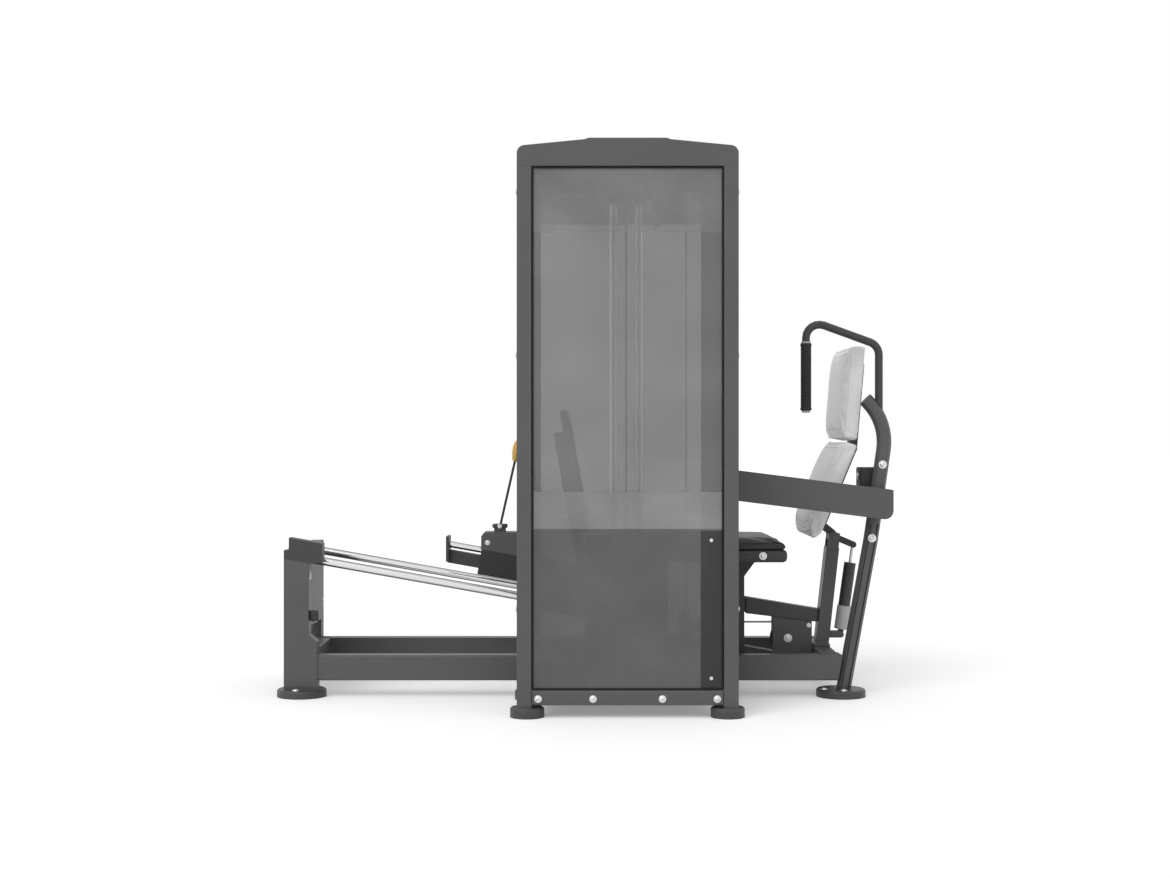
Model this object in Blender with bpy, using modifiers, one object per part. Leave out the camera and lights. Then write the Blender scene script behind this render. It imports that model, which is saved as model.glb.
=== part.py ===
# Selectorised seated leg press: inclined sled on two guide rods, side weight tower, reclining seat back.
# Metres, +Z up. X runs from the sled end (-X) to the backrest end (+X), and -Y is the tower's side.
# The origin is the middle of the machine's footprint, on the floor.

import math

import bmesh
import bpy
from mathutils import Matrix, Vector

# Common sizes
GAP = 0.0003
RUNNING_GAP = 0.0004
PLATE = 0.006
ROUND_EDGE = 0.003

# Frame planes
MID_Y = 0.177
ROD_HALF_SPACING = 0.170
ROD_TO_BEAM = 0.056
NEAR_Y = MID_Y - ROD_HALF_SPACING - ROD_TO_BEAM
FAR_Y = MID_Y + ROD_HALF_SPACING + ROD_TO_BEAM
BEAM_WIDTH = 0.050
BEAM_BOTTOM = 0.050
BEAM_TOP = 0.125
FRAME_LEFT = -0.892
CROSS_LEFT = (-0.888, -0.826)
CROSS_MID = (0.430, 0.490)
CROSS_MID_TOP = 0.105
CROSS_RIGHT = (0.708, 0.762)

# Floor plates
DISC_RADIUS = 0.0735
DISC_HEIGHT = 0.023
DISC_LEFT_X = -0.847
DISC_RIGHT_X = 0.765

# End frame that holds the upper end of the guide rods
POST_LEFT = -0.897
POST_RIGHT = -0.823
POST_TOP = 0.412
SHOE_RIGHT = -0.798
SHOE_TOP = 0.185
CAP_PLATE_LEFT = -0.882
CAP_PLATE_RIGHT = -0.783
CAP_PLATE_TOP = 0.475
CAP_STEP_Z = 0.438
FAR_LEG_RIGHT = -0.855
HOUSING_RIGHT = -0.850
HOUSING_BOTTOM = 0.190
HOUSING_TOP = 0.440

# Guide rods and the sled that rides them
TILT = math.radians(10.1)
ROD_RADIUS = 0.0125
ROD_HEIGHT_AT_ORIGIN = 0.2585
ROD_LOWER_X = 0.245
BRACKET_LEFT = 0.205

# Sled carriage and clamp block, as distances along the rods (uphill) and above their centre line
CARRIAGE_LOW = -0.060
CARRIAGE_HIGH = 0.345
CARRIAGE_UNDER = 0.032
CARRIAGE_TOP = 0.108
YOKE_LOW = -0.050
YOKE_HIGH = 0.160
ANCHOR_ALONG = -0.055
SLOT_HIGH = 0.150
BAR_LOW = -0.030
BAR_HIGH = 0.444
BAR_UNDER = 0.049
BAR_TOP = 0.089
BAR_HALF_WIDTH = 0.020
ADJUSTER_RADIUS = 0.010
ADJUSTER_ABOVE = 0.105
ADJUSTER_LOW = 0.034
ADJUSTER_HIGH = 0.4455
END_PLATE_LEFT = -0.431
END_PLATE_THICKNESS = 0.009
END_PLATE_HALF_WIDTH = 0.045
END_PLATE_UNDER = 0.0164
END_PLATE_OVER = 0.0616
CLAMP_LEFT = -0.322
CLAMP_RIGHT = -0.140
CLAMP_TOP = 0.480
CLAMP_WIDTH = 0.086
LEVER_PIVOT = (-0.2655, 0.495)
LEVER_RADIUS = 0.004
KNOB_FOOT = (-0.219, 0.700)
FOOT_PLATE_LOW = (0.000, 0.490)
FOOT_PLATE_HIGH = (-0.065, 0.855)
FOOT_PLATE_WIDTH = 0.420
FOOT_PLATE_THICKNESS = 0.022
POST_BELOW_PLATE = 0.172
POST_BEHIND_PLATE = 0.310
POST_DEPTH = 0.034

# Weight tower
TOWER_LEFT = -0.188
TOWER_RIGHT = 0.423
TOWER_DEPTH = 0.3845
TOWER_BACK = NEAR_Y - BEAM_WIDTH / 2 - 0.0005
TOWER_FRONT = TOWER_BACK - TOWER_DEPTH
TOWER_POST = 0.040
TOWER_FOOT_RADIUS = 0.0475
TOWER_FOOT_TOP = 0.028
RAIL_BOTTOM = 0.036
RAIL_TOP = 0.077
TOWER_HEIGHT = 1.598
CAP_HEIGHT = 0.077
CAP_ARCH = 0.020
CAP_CORNER = 0.022
CAP_WALL = 0.006
CAP_ROOF_THICKNESS = 0.016
CAP_BOTTOM = TOWER_HEIGHT - CAP_HEIGHT
CAP_SHOULDER = TOWER_HEIGHT - CAP_ARCH
CAP_ROOF = CAP_SHOULDER - CAP_ROOF_THICKNESS
CROWN_HALF_LENGTH = 0.108
CROWN_SLOPE = 0.010
CROWN_STEP = 0.004
BEAM_PLATE = 0.012
BEAM_DROP = 0.043
BEAM_INSET = 0.075
BEAM_NOSE = 0.043
BEAM_LOW = CAP_BOTTOM - BEAM_DROP
SHROUD_THICKNESS = 0.004
FRONT_SHROUD_INSET = 0.008
REAR_SHROUD_INSET = 0.012
SHROUD_LOW = 0.600
SHROUD_DROP = 0.117
SHROUD_HIGH = CAP_BOTTOM - SHROUD_DROP
SHROUD_RAIL_HEIGHT = 0.014
SHROUD_RAIL_DEPTH = 0.014
STACK_X = 0.1175
STACK_Y = TOWER_BACK - 0.1945
STACK_ROD_HALF_SPACING = 0.036
STACK_ROD_RADIUS = 0.0120
STACK_ROD_TOP = BEAM_LOW - 0.0383
WEIGHT_LENGTH = 0.235
WEIGHT_DEPTH = 0.110
WEIGHT_PITCH = 0.026
GROOVE_HEIGHT = 0.0015
GROOVE_DEPTH = 0.003
RESTING_COUNT = 9
LIFTED_COUNT = 6
STACK_BOTTOM = 0.100
STEM_RADIUS = 0.009
PIN_RADIUS = 0.0045
PIN_KNOB_RADIUS = 0.012
PIN_KNOB_LENGTH = 0.031

# Cable drive
CABLE_RADIUS = 0.003
LOW_PULLEY_RADIUS = 0.048
LOW_PULLEY_X = 0.631
LOW_PULLEY_Z = 0.150
CORNER_PULLEY_RADIUS = 0.040
TOP_PULLEY_RADIUS = 0.0465
RISE_X = 0.290
TOP_PULLEY_X = RISE_X - TOP_PULLEY_RADIUS
TOP_PULLEY_Z = BEAM_LOW - 0.042
CROWN_PULLEY_X = STACK_X + TOP_PULLEY_RADIUS
CROWN_PULLEY_Z = BEAM_LOW + 0.027
CROSS_RUN_Z = LOW_PULLEY_Z + LOW_PULLEY_RADIUS
CABLE_HOLD_X = 0.575
CABLE_HOLD_Z = STACK_ROD_TOP - 0.0197
PULLEY_THICKNESS = 0.020
PULLEY_FLANGE = 0.005
PULLEY_BORE = 0.0086
AXLE_RADIUS = 0.008

# Inclined spine and low pulley block
SPINE_LEFT = 0.498
SPINE_LEFT_Z = 0.227
SPINE_LEFT_HEIGHT = 0.051
SPINE_RIGHT = 0.723
SPINE_RIGHT_Z = 0.200
SPINE_RIGHT_HEIGHT = 0.040
BLOCK_LEFT = 0.584
BLOCK_RIGHT = 0.706
BLOCK_BOTTOM = 0.102

# Seat
SEAT_LEFT = 0.150
SEAT_RIGHT = 0.613
SEAT_TOP = 0.470
SEAT_HALF_WIDTH = 0.220
SEAT_PAD_THICKNESS = 0.034
PAN_THICKNESS = 0.038
PAN_INSET = 0.006
PAN_TOP = SEAT_TOP - SEAT_PAD_THICKNESS
PAN_BOTTOM = PAN_TOP - PAN_THICKNESS
PAN_HALF_WIDTH = SEAT_HALF_WIDTH - PAN_INSET
PAN_LEFT_INSET = 0.012
PAN_RIGHT_INSET = 0.005
GUSSET_DEPTH = 0.068
GUSSET_REACH = 0.048
CUSHION_CELLS = (13, 13)
CUSHION_EDGE_DROP = 0.35
CUSHION_CORNER = 0.04
CUSHION_WAIST = 0.03
SEAT_CROWN = 0.006
BACK_CROWN = 0.008
LOWER_PAD_FOOT = 0.026

# Backrest
PILLAR_FOOT = (0.7365, 0.1255)
PILLAR_HEAD = (0.774, 0.464)
PILLAR_DEPTH = 0.039
PILLAR_WIDTH = 0.064
BACK_HALF_WIDTH = 0.185
PAD_THICKNESS = 0.058
LOWER_PAD_LOW = (0.6615, 0.507)
LOWER_PAD_HIGH = (0.769, 0.768)
UPPER_PAD_LOW = (0.7655, 0.775)
UPPER_PAD_HIGH = (0.790, 1.051)
CARRIER_DEPTH = 0.024
CARRIER_LOWER_REACH = 0.200
CARRIER_UPPER_REACH = 0.235
STRUT_LOW = (0.797, 0.160)
STRUT_HIGH = (0.836, 0.440)
STRUT_PIN_RADIUS = 0.005
STRUT_CYLINDER_LENGTH = 0.225
LOCK_LOW = (0.826, 0.624)
LOCK_HIGH = (0.884, 0.684)
LOCK_FAR_Y = 0.048

# Rear upright, handle and arm
UPRIGHT_FOOT = (0.771, 0.012)
UPRIGHT_KNEE = (0.855, 0.472)
UPRIGHT_CORNER = (0.9047, 0.820)
UPRIGHT_END = (0.838, 0.888)
UPRIGHT_RADIUS = 0.022
UPRIGHT_BEND = 0.170
HANDLE_RADIUS = 0.012
HANDLE_X = 0.879
HANDLE_FOOT_Z = 0.845
HANDLE_BEND_Z = 1.049
HANDLE_SLOPE = math.radians(20)
GRIP_X = 0.661
GRIP_LOW = 0.854
GRIP_HIGH = 1.055
GRIP_RADIUS = 0.0155
ARM_THICKNESS = 0.034
ARM_Y = NEAR_Y - 0.0625
ARM_HEIGHT = 0.090
ARM_SLOPE = math.radians(7.2)
ARM_LEFT_TOP = 0.680
ARM_RIGHT = 0.909
ARM_CORNER = 0.026
ARM_WRAP_Y = NEAR_Y + 0.069

# Colours as linear base colour, roughness and metallic value
FRAME_GREY = ((0.115, 0.118, 0.121), 0.48, 0.25)
DARK_GREY = ((0.045, 0.046, 0.048), 0.50, 0.20)
BLACK_PLASTIC = ((0.016, 0.016, 0.017), 0.55, 0.0)
BLACK_RUBBER = ((0.012, 0.012, 0.012), 0.85, 0.0)
BLACK_IRON = ((0.030, 0.030, 0.031), 0.60, 0.4)
CHROME = ((0.800, 0.805, 0.810), 0.12, 1.0)
BRIGHT_STEEL = ((0.560, 0.565, 0.570), 0.30, 1.0)
SMOKED_PANEL = ((0.100, 0.100, 0.102), 0.15, 0.0)
LIGHT_VINYL = ((0.600, 0.600, 0.590), 0.60, 0.0)
DARK_VINYL = ((0.035, 0.035, 0.037), 0.60, 0.0)
AMBER = ((0.750, 0.420, 0.060), 0.35, 0.0)


def clear_scene():
    for item in list(bpy.data.objects):
        bpy.data.objects.remove(item, do_unlink=True)


def make_collection(name):
    collection = bpy.data.collections.new(name)
    bpy.context.scene.collection.children.link(collection)
    return collection


clear_scene()
MODEL = make_collection("leg_press")
CUTTERS = make_collection("cutters")


def add_material(item, finish):
    colour, roughness, metallic = finish
    material = bpy.data.materials.new(item.name + "_material")
    material.use_nodes = True
    shader = material.node_tree.nodes["Principled BSDF"]
    shader.inputs["Base Color"].default_value = (*colour, 1.0)
    shader.inputs["Roughness"].default_value = roughness
    shader.inputs["Metallic"].default_value = metallic
    item.data.materials.append(material)


def link(item, finish, place=None):
    (place or MODEL).objects.link(item)
    if finish:
        add_material(item, finish)
    else:
        item.hide_render = True
        item.display_type = "WIRE"
    return item


def from_bmesh(name, mesh, finish, place=None, smooth=False):
    bmesh.ops.recalc_face_normals(mesh, faces=mesh.faces)
    data = bpy.data.meshes.new(name)
    mesh.to_mesh(data)
    mesh.free()
    if smooth:
        data.shade_smooth()
        data.set_sharp_from_angle(angle=math.radians(35))
    return link(bpy.data.objects.new(name, data), finish, place)


def round_edges(item, width, segments=1):
    bevel = item.modifiers.new("rounded_edges", "BEVEL")
    bevel.width = width
    bevel.segments = segments
    bevel.limit_method = "ANGLE"
    bevel.angle_limit = math.radians(40)


def box(name, low, high, finish, bevel=ROUND_EDGE, segments=1, place=None):
    mesh = bmesh.new()
    bmesh.ops.create_cube(mesh, size=1.0)
    size = [high[axis] - low[axis] for axis in range(3)]
    bmesh.ops.scale(mesh, vec=size, verts=mesh.verts)
    item = from_bmesh(name, mesh, finish, place)
    item.location = [(high[axis] + low[axis]) / 2 for axis in range(3)]
    if bevel:
        round_edges(item, bevel, segments)
    return item


def aim(start, end):
    """Rotation that turns local +Z from start towards end and keeps local Y as near to world Y as it can."""
    forward = (Vector(end) - Vector(start)).normalized()
    side = Vector((0, 1, 0))
    if abs(forward.dot(side)) > 0.99:
        side = Vector((1, 0, 0))
    cross = side.cross(forward).normalized()
    side = forward.cross(cross).normalized()
    return Matrix((cross, side, forward)).transposed().to_4x4()


def rod(name, start, end, radius, finish, sides=24, place=None):
    mesh = bmesh.new()
    length = (Vector(end) - Vector(start)).length
    bmesh.ops.create_cone(mesh, cap_ends=True, segments=sides, radius1=radius, radius2=radius, depth=length)
    item = from_bmesh(name, mesh, finish, place, smooth=True)
    item.matrix_world = Matrix.Translation((Vector(start) + Vector(end)) / 2) @ aim(start, end)
    return item


def bar(name, start, end, width, height, finish, bevel=ROUND_EDGE, place=None):
    """Rectangular tube from start to end, with its width along Y and its height across the run."""
    mesh = bmesh.new()
    bmesh.ops.create_cube(mesh, size=1.0)
    length = (Vector(end) - Vector(start)).length
    bmesh.ops.scale(mesh, vec=(height, width, length), verts=mesh.verts)
    item = from_bmesh(name, mesh, finish, place)
    item.matrix_world = Matrix.Translation((Vector(start) + Vector(end)) / 2) @ aim(start, end)
    if bevel:
        round_edges(item, bevel)
    return item


def plate(name, outline, middle, thickness, finish, bevel=0.0, place=None, across_x=False):
    """Flat piece from an outline: (x, z) points with its thickness along Y, or (y, z) points across X."""
    curve = bpy.data.curves.new(name, "CURVE")
    curve.dimensions = "2D"
    curve.fill_mode = "BOTH"
    curve.extrude = thickness / 2
    spline = curve.splines.new("POLY")
    spline.points.add(len(outline) - 1)
    for point, (x, z) in zip(spline.points, outline):
        point.co = (x, z, 0, 1)
    spline.use_cyclic_u = True
    item = bpy.data.objects.new(name, curve)
    item.rotation_euler = (math.pi / 2, 0, math.pi / 2 if across_x else 0)
    item.location = (middle, 0, 0) if across_x else (0, middle, 0)
    link(item, finish, place)
    if bevel:
        weld = item.modifiers.new("weld", "WELD")
        weld.merge_threshold = 0.0001
        round_edges(item, bevel)
    return item


def tube(name, points, radius, finish, detail=3):
    """Round tube along a list of points, with filled ends."""
    curve = bpy.data.curves.new(name, "CURVE")
    curve.dimensions = "3D"
    curve.bevel_depth = radius
    curve.bevel_resolution = detail
    curve.use_fill_caps = True
    spline = curve.splines.new("POLY")
    spline.points.add(len(points) - 1)
    for point, place in zip(spline.points, points):
        point.co = (*place, 1)
    spline.use_smooth = True
    return link(bpy.data.objects.new(name, curve), finish)


def turned(name, profile, finish, place_at, axis, steps=28):
    """Solid of revolution from (radius, height) points, top to bottom, about the given world axis."""
    mesh = bmesh.new()
    points = [mesh.verts.new((radius, 0, height)) for radius, height in profile]
    for first, second in zip(points, points[1:]):
        mesh.edges.new((first, second))
    data = bpy.data.meshes.new(name)
    mesh.to_mesh(data)
    mesh.free()
    item = link(bpy.data.objects.new(name, data), finish)
    item.matrix_world = Matrix.Translation(place_at) @ aim((0, 0, 0), axis)
    screw = item.modifiers.new("turn", "SCREW")
    screw.steps = steps
    screw.render_steps = steps
    screw.use_merge_vertices = True
    screw.merge_threshold = 0.0001
    screw.use_smooth_shade = True
    return item


def arc(centre, radius, start_degrees, end_degrees, steps):
    """Points of an arc in a plane, as (x, z) pairs."""
    points = []
    for index in range(steps + 1):
        angle = math.radians(start_degrees + (end_degrees - start_degrees) * index / steps)
        points.append((centre[0] + radius * math.cos(angle), centre[1] + radius * math.sin(angle)))
    return points


def filleted(points, radius, steps=6):
    """The same run of points with each inner corner replaced by an arc of the given radius."""
    run = [Vector(point) for point in points]
    result = [run[0]]
    for before, corner, after in zip(run, run[1:], run[2:]):
        back = (before - corner).normalized()
        ahead = (after - corner).normalized()
        half = back.angle(ahead) / 2
        centre = corner + (back + ahead).normalized() * radius / math.sin(half)
        reach = radius / math.tan(half)
        first = corner + back * reach - centre
        last = corner + ahead * reach - centre
        turn = first.angle(last)
        for index in range(steps + 1):
            share = index / steps
            weight_first = math.sin((1 - share) * turn) / math.sin(turn)
            weight_last = math.sin(share * turn) / math.sin(turn)
            result.append(centre + first * weight_first + last * weight_last)
    result.append(run[-1])
    return result


def as_mesh(item):
    """Turn an object and its modifiers into a plain closed mesh object of the same name and place."""
    bpy.context.view_layer.update()
    evaluated = item.evaluated_get(bpy.context.evaluated_depsgraph_get())
    data = bpy.data.meshes.new_from_object(evaluated)
    name = item.name
    matrix = item.matrix_world.copy()
    place = item.users_collection[0]
    item.name = name + "_source"
    bpy.data.objects.remove(item, do_unlink=True)
    mesh = bmesh.new()
    mesh.from_mesh(data)
    bmesh.ops.remove_doubles(mesh, verts=mesh.verts, dist=0.00001)
    bmesh.ops.recalc_face_normals(mesh, faces=mesh.faces)
    mesh.to_mesh(data)
    mesh.free()
    result = bpy.data.objects.new(name, data)
    place.objects.link(result)
    result.matrix_world = matrix
    return result


def combine(item, tools, operation):
    """Join or cut an object with others, which are kept as hidden cutters."""
    if item.type == "CURVE":
        item = as_mesh(item)
    for tool in tools:
        if tool.type == "CURVE":
            tool = as_mesh(tool)
        for owner in list(tool.users_collection):
            owner.objects.unlink(tool)
        CUTTERS.objects.link(tool)
        tool.hide_render = True
        tool.display_type = "WIRE"
        change = item.modifiers.new(tool.name, "BOOLEAN")
        change.operation = operation
        change.object = tool
        change.solver = "EXACT"
    return item


def set_origin(item, point):
    """Move an object's origin onto a joint's axis without moving its surface."""
    bpy.context.view_layer.update()
    shift = item.matrix_world.inverted() @ Vector(point)
    item.data.transform(Matrix.Translation(-shift))
    item.matrix_world = item.matrix_world @ Matrix.Translation(shift)
    return item


def joined(item, *tools):
    return combine(item, tools, "UNION")


def cut(item, *tools):
    return combine(item, tools, "DIFFERENCE")


def cutter_box(name, low, high):
    return box(name, low, high, None, bevel=0, place=CUTTERS)


def cutter_rod(name, start, end, radius, sides=32):
    return rod(name, start, end, radius, None, sides, CUTTERS)


def rod_line(x):
    """Height of the guide rods' centre line."""
    return ROD_HEIGHT_AT_ORIGIN - x * math.tan(TILT)


def on_slope(along, above):
    """(x, z) of a point measured along the guide rods, uphill from x = 0, and above their centre line."""
    x = -along * math.cos(TILT) + above * math.sin(TILT)
    z = ROD_HEIGHT_AT_ORIGIN + along * math.sin(TILT) + above * math.cos(TILT)
    return x, z


def slope_box(name, along, above, half_width, finish, bevel=ROUND_EDGE, place=None, middle_y=MID_Y):
    """Box that lies along the guide rods, from its ranges along and above their centre line."""
    middle = (above[0] + above[1]) / 2
    start_x, start_z = on_slope(along[0], middle)
    end_x, end_z = on_slope(along[1], middle)
    return bar(name, (start_x, middle_y, start_z), (end_x, middle_y, end_z), 2 * half_width,
               above[1] - above[0], finish, bevel, place)


def upright_edge(z, side):
    """X of the straight lower part of the rear upright, at its left (-1) or right (+1) side."""
    lean = (UPRIGHT_KNEE[0] - UPRIGHT_FOOT[0]) / (UPRIGHT_KNEE[1] - UPRIGHT_FOOT[1])
    middle = UPRIGHT_FOOT[0] + lean * (z - UPRIGHT_FOOT[1])
    return middle + side * (UPRIGHT_RADIUS * math.hypot(1, lean) + GAP)


def pillar_edge(z):
    """X of the backrest pillar's left side."""
    lean = (PILLAR_HEAD[0] - PILLAR_FOOT[0]) / (PILLAR_HEAD[1] - PILLAR_FOOT[1])
    return PILLAR_FOOT[0] + lean * (z - PILLAR_FOOT[1]) - PILLAR_DEPTH / 2 * math.hypot(1, lean) - GAP


def disc(name, x, y, radius, height, finish):
    """Round floor plate with a chamfered rim."""
    chamfer = 0.004
    profile = [(0, height), (radius - chamfer, height), (radius, height - chamfer), (radius, 0), (0, 0)]
    return turned(name, profile, finish, (x, y, 0), (0, 0, 1))


def pulley(name, centre, axis, radius):
    """Grooved wheel with a bore, turned about its axle."""
    half = PULLEY_THICKNESS / 2
    rim = radius + PULLEY_FLANGE
    root = radius - CABLE_RADIUS - 0.0010
    groove = CABLE_RADIUS + 0.0012
    profile = [(PULLEY_BORE, half), (rim, half), (rim, half - 0.002), (root, groove), (root, -groove),
               (rim, 0.002 - half), (rim, -half), (PULLEY_BORE, -half), (PULLEY_BORE, half)]
    return turned(name, profile, BLACK_PLASTIC, centre, axis)


def floor_frame():
    """Two floor beams, three cross members and the floor plates under them."""
    tip_low = upright_edge(BEAM_BOTTOM, -1)
    tip_high = upright_edge(BEAM_TOP, -1)
    left = SHOE_RIGHT + GAP
    near = [(left, BEAM_BOTTOM), (tip_low, BEAM_BOTTOM), (tip_high, BEAM_TOP), (left, BEAM_TOP)]
    plate("near_beam", near, NEAR_Y, BEAM_WIDTH, FRAME_GREY, ROUND_EDGE)

    left = FAR_LEG_RIGHT + GAP
    foot_left = DISC_RIGHT_X - 0.025
    foot_right = DISC_RIGHT_X + 0.025
    overlap_z = DISC_HEIGHT - 0.003
    far = [(left, BEAM_BOTTOM), (foot_left, BEAM_BOTTOM), (foot_left, overlap_z),
           (foot_right, overlap_z), (foot_right, BEAM_TOP), (left, BEAM_TOP)]
    beam = plate("far_beam", far, FAR_Y, BEAM_WIDTH, FRAME_GREY)
    joined(beam, disc("far_rear_floor_plate", DISC_RIGHT_X, FAR_Y, DISC_RADIUS, DISC_HEIGHT, DARK_GREY))

    inner_near = NEAR_Y + BEAM_WIDTH / 2 + GAP
    inner_far = FAR_Y - BEAM_WIDTH / 2 - GAP
    for name, (low_x, high_x), top in (("left_cross_member", CROSS_LEFT, BEAM_TOP),
                                       ("seat_cross_member", CROSS_MID, CROSS_MID_TOP),
                                       ("rear_cross_member", CROSS_RIGHT, BEAM_TOP)):
        box(name, (low_x, inner_near, BEAM_BOTTOM), (high_x, inner_far, top), FRAME_GREY)


def end_frame():
    """Post, cap and crosspiece that carry the upper end of the guide rods."""
    foot = DISC_HEIGHT - 0.003
    outline = [(POST_LEFT, foot), (SHOE_RIGHT, foot), (SHOE_RIGHT, SHOE_TOP - 0.02),
               (POST_RIGHT, SHOE_TOP), (POST_RIGHT, POST_TOP - 0.013), (POST_LEFT, POST_TOP)]
    post = plate("end_post", outline, NEAR_Y, BEAM_WIDTH, FRAME_GREY)
    joined(post, disc("end_floor_plate", DISC_LEFT_X, NEAR_Y, DISC_RADIUS, DISC_HEIGHT, DARK_GREY))

    slope = math.tan(TILT)
    low = POST_TOP + GAP
    cap = [(POST_LEFT, low), (POST_RIGHT, low - 0.013), (CAP_PLATE_RIGHT, low - 0.013),
           (CAP_PLATE_RIGHT, CAP_PLATE_TOP - (CAP_PLATE_RIGHT - CAP_PLATE_LEFT) * slope),
           (CAP_PLATE_LEFT, CAP_PLATE_TOP), (CAP_PLATE_LEFT, CAP_STEP_Z), (POST_LEFT, CAP_STEP_Z)]
    plate("end_post_cap", cap, NEAR_Y, BEAM_WIDTH, DARK_GREY)

    leg = [(FRAME_LEFT, foot), (FAR_LEG_RIGHT, foot), (FAR_LEG_RIGHT, HOUSING_TOP), (FRAME_LEFT, HOUSING_TOP)]
    leg = plate("far_end_leg", leg, FAR_Y, BEAM_WIDTH, FRAME_GREY)
    joined(leg, disc("far_end_floor_plate", DISC_LEFT_X, FAR_Y, DISC_RADIUS, DISC_HEIGHT, DARK_GREY))

    housing = box("rod_housing", (FRAME_LEFT, NEAR_Y + BEAM_WIDTH / 2 + GAP, HOUSING_BOTTOM),
                  (HOUSING_RIGHT, FAR_Y - BEAM_WIDTH / 2 - GAP, HOUSING_TOP), FRAME_GREY, bevel=0)
    sockets = []
    for side in (-1, 1):
        y = MID_Y + side * ROD_HALF_SPACING
        far_x = FRAME_LEFT - 0.01
        near_x = HOUSING_RIGHT + 0.01
        sockets.append(cutter_rod("rod_socket", (far_x, y, rod_line(far_x)), (near_x, y, rod_line(near_x)),
                                  ROD_RADIUS + GAP))
    cut(housing, *sockets)


def guide_rods():
    """Two chrome rods that the sled runs on, and the crosspiece under their lower end."""
    inner_near = NEAR_Y + BEAM_WIDTH / 2 + GAP
    inner_far = FAR_Y - BEAM_WIDTH / 2 - GAP
    top = rod_line(BRACKET_LEFT) + ROD_RADIUS + 0.012
    bracket = box("guide_rod_lower_bracket", (BRACKET_LEFT, inner_near, BEAM_BOTTOM),
                  (ROD_LOWER_X, inner_far, top), FRAME_GREY, bevel=0)
    cable_hole = cutter_box("cable_hole", (BRACKET_LEFT - 0.01, MID_Y - 0.02, 0.150),
                            (ROD_LOWER_X + 0.01, MID_Y + 0.02, 0.195))
    tools = [cable_hole]
    start_x = FRAME_LEFT + 0.002
    for side, name in ((-1, "near_guide_rod"), (1, "far_guide_rod")):
        y = MID_Y + side * ROD_HALF_SPACING
        end_x = ROD_LOWER_X - 0.004
        rod(name, (start_x, y, rod_line(start_x)), (end_x, y, rod_line(end_x)), ROD_RADIUS, CHROME, 32)
        socket_x = BRACKET_LEFT - 0.01
        through_x = ROD_LOWER_X + 0.01
        tools.append(cutter_rod("lower_socket", (socket_x, y, rod_line(socket_x)),
                                (through_x, y, rod_line(through_x)), ROD_RADIUS + GAP))
    cut(bracket, *tools)


def seat():
    """Seat post with its pan, and the cushion on it."""
    low_x, high_x = CROSS_MID
    pan_left = SEAT_LEFT + PAN_LEFT_INSET
    pan_right = SEAT_RIGHT - PAN_RIGHT_INSET
    post = box("seat_post", (low_x, MID_Y - 0.085, CROSS_MID_TOP + GAP),
               (high_x, MID_Y + 0.085, PAN_BOTTOM + 0.004), DARK_GREY, bevel=0)
    pan = box("seat_pan", (pan_left, MID_Y - PAN_HALF_WIDTH, PAN_BOTTOM),
              (pan_right, MID_Y + PAN_HALF_WIDTH, PAN_TOP),
              DARK_VINYL, bevel=0.012, segments=2)
    gusset_low = PAN_BOTTOM - GUSSET_DEPTH
    brace = [(low_x + 0.01, PAN_BOTTOM + 0.003), (low_x + 0.01, gusset_low), (high_x - 0.004, gusset_low),
             (high_x + GUSSET_REACH, PAN_BOTTOM + 0.003)]
    gusset = plate("seat_gusset", brace, MID_Y, 0.060, DARK_GREY)
    joined(post, pan, gusset)
    cut(post, cutter_box("cable_slot", (low_x - 0.01, MID_Y - 0.02, CROSS_MID_TOP - 0.01),
                         (high_x + 0.01, MID_Y + 0.02, 0.225)))
    cushion("seat_pad", (SEAT_LEFT, SEAT_RIGHT), (MID_Y - SEAT_HALF_WIDTH, MID_Y + SEAT_HALF_WIDTH),
            PAN_TOP + GAP, SEAT_TOP, DARK_VINYL)


def cushion_body(name, length, width, thickness, finish, crown, waist, foot=0.0):
    """Upholstered pad in local XY: flat underside, crowned top, sides drawn in, and a rounded foot at -X."""
    mesh = bmesh.new()
    bmesh.ops.create_grid(mesh, x_segments=CUSHION_CELLS[0], y_segments=CUSHION_CELLS[1], size=0.5)
    top = list(mesh.verts)
    bmesh.ops.duplicate(mesh, geom=list(mesh.verts) + list(mesh.edges) + list(mesh.faces))
    for point in top:
        point.co.z = 1
    rim_edges = [edge for edge in mesh.edges if edge.is_boundary]
    bridge = bmesh.ops.bridge_loops(mesh, edges=rim_edges)
    upright_edges = [edge for edge in bridge["edges"] if edge.verts[0].co.z != edge.verts[1].co.z]
    bmesh.ops.subdivide_edges(mesh, edges=upright_edges, cuts=2, use_grid_fill=True)
    for point in mesh.verts:
        u = 2 * point.co.x
        v = 2 * point.co.y
        level = point.co.z
        pull_x = 1 - waist * (1 - v * v) * u * u
        pull_y = 1 - waist * (1 - u * u) * v * v
        corner = 1 - CUSHION_CORNER * (u * v) ** 2
        dome = (1 - u ** 4) * (1 - v ** 4)
        height = thickness * (1 - CUSHION_EDGE_DROP) + crown * dome
        height += (thickness * CUSHION_EDGE_DROP - crown) * dome ** 0.25
        roll = foot * math.sin(math.pi * level) * max(0, -u) ** 8
        point.co = (u / 2 * length * pull_x * corner - roll, v / 2 * width * pull_y * corner, level * height)
    return from_bmesh(name, mesh, finish, smooth=True)


def cushion(name, x_range, y_range, bottom, top, finish):
    """Level cushion between the given limits."""
    length = x_range[1] - x_range[0]
    width = y_range[1] - y_range[0]
    item = cushion_body(name, length, width, top - bottom, finish, SEAT_CROWN, CUSHION_WAIST)
    item.location = ((x_range[0] + x_range[1]) / 2, (y_range[0] + y_range[1]) / 2, bottom)
    return item


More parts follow.
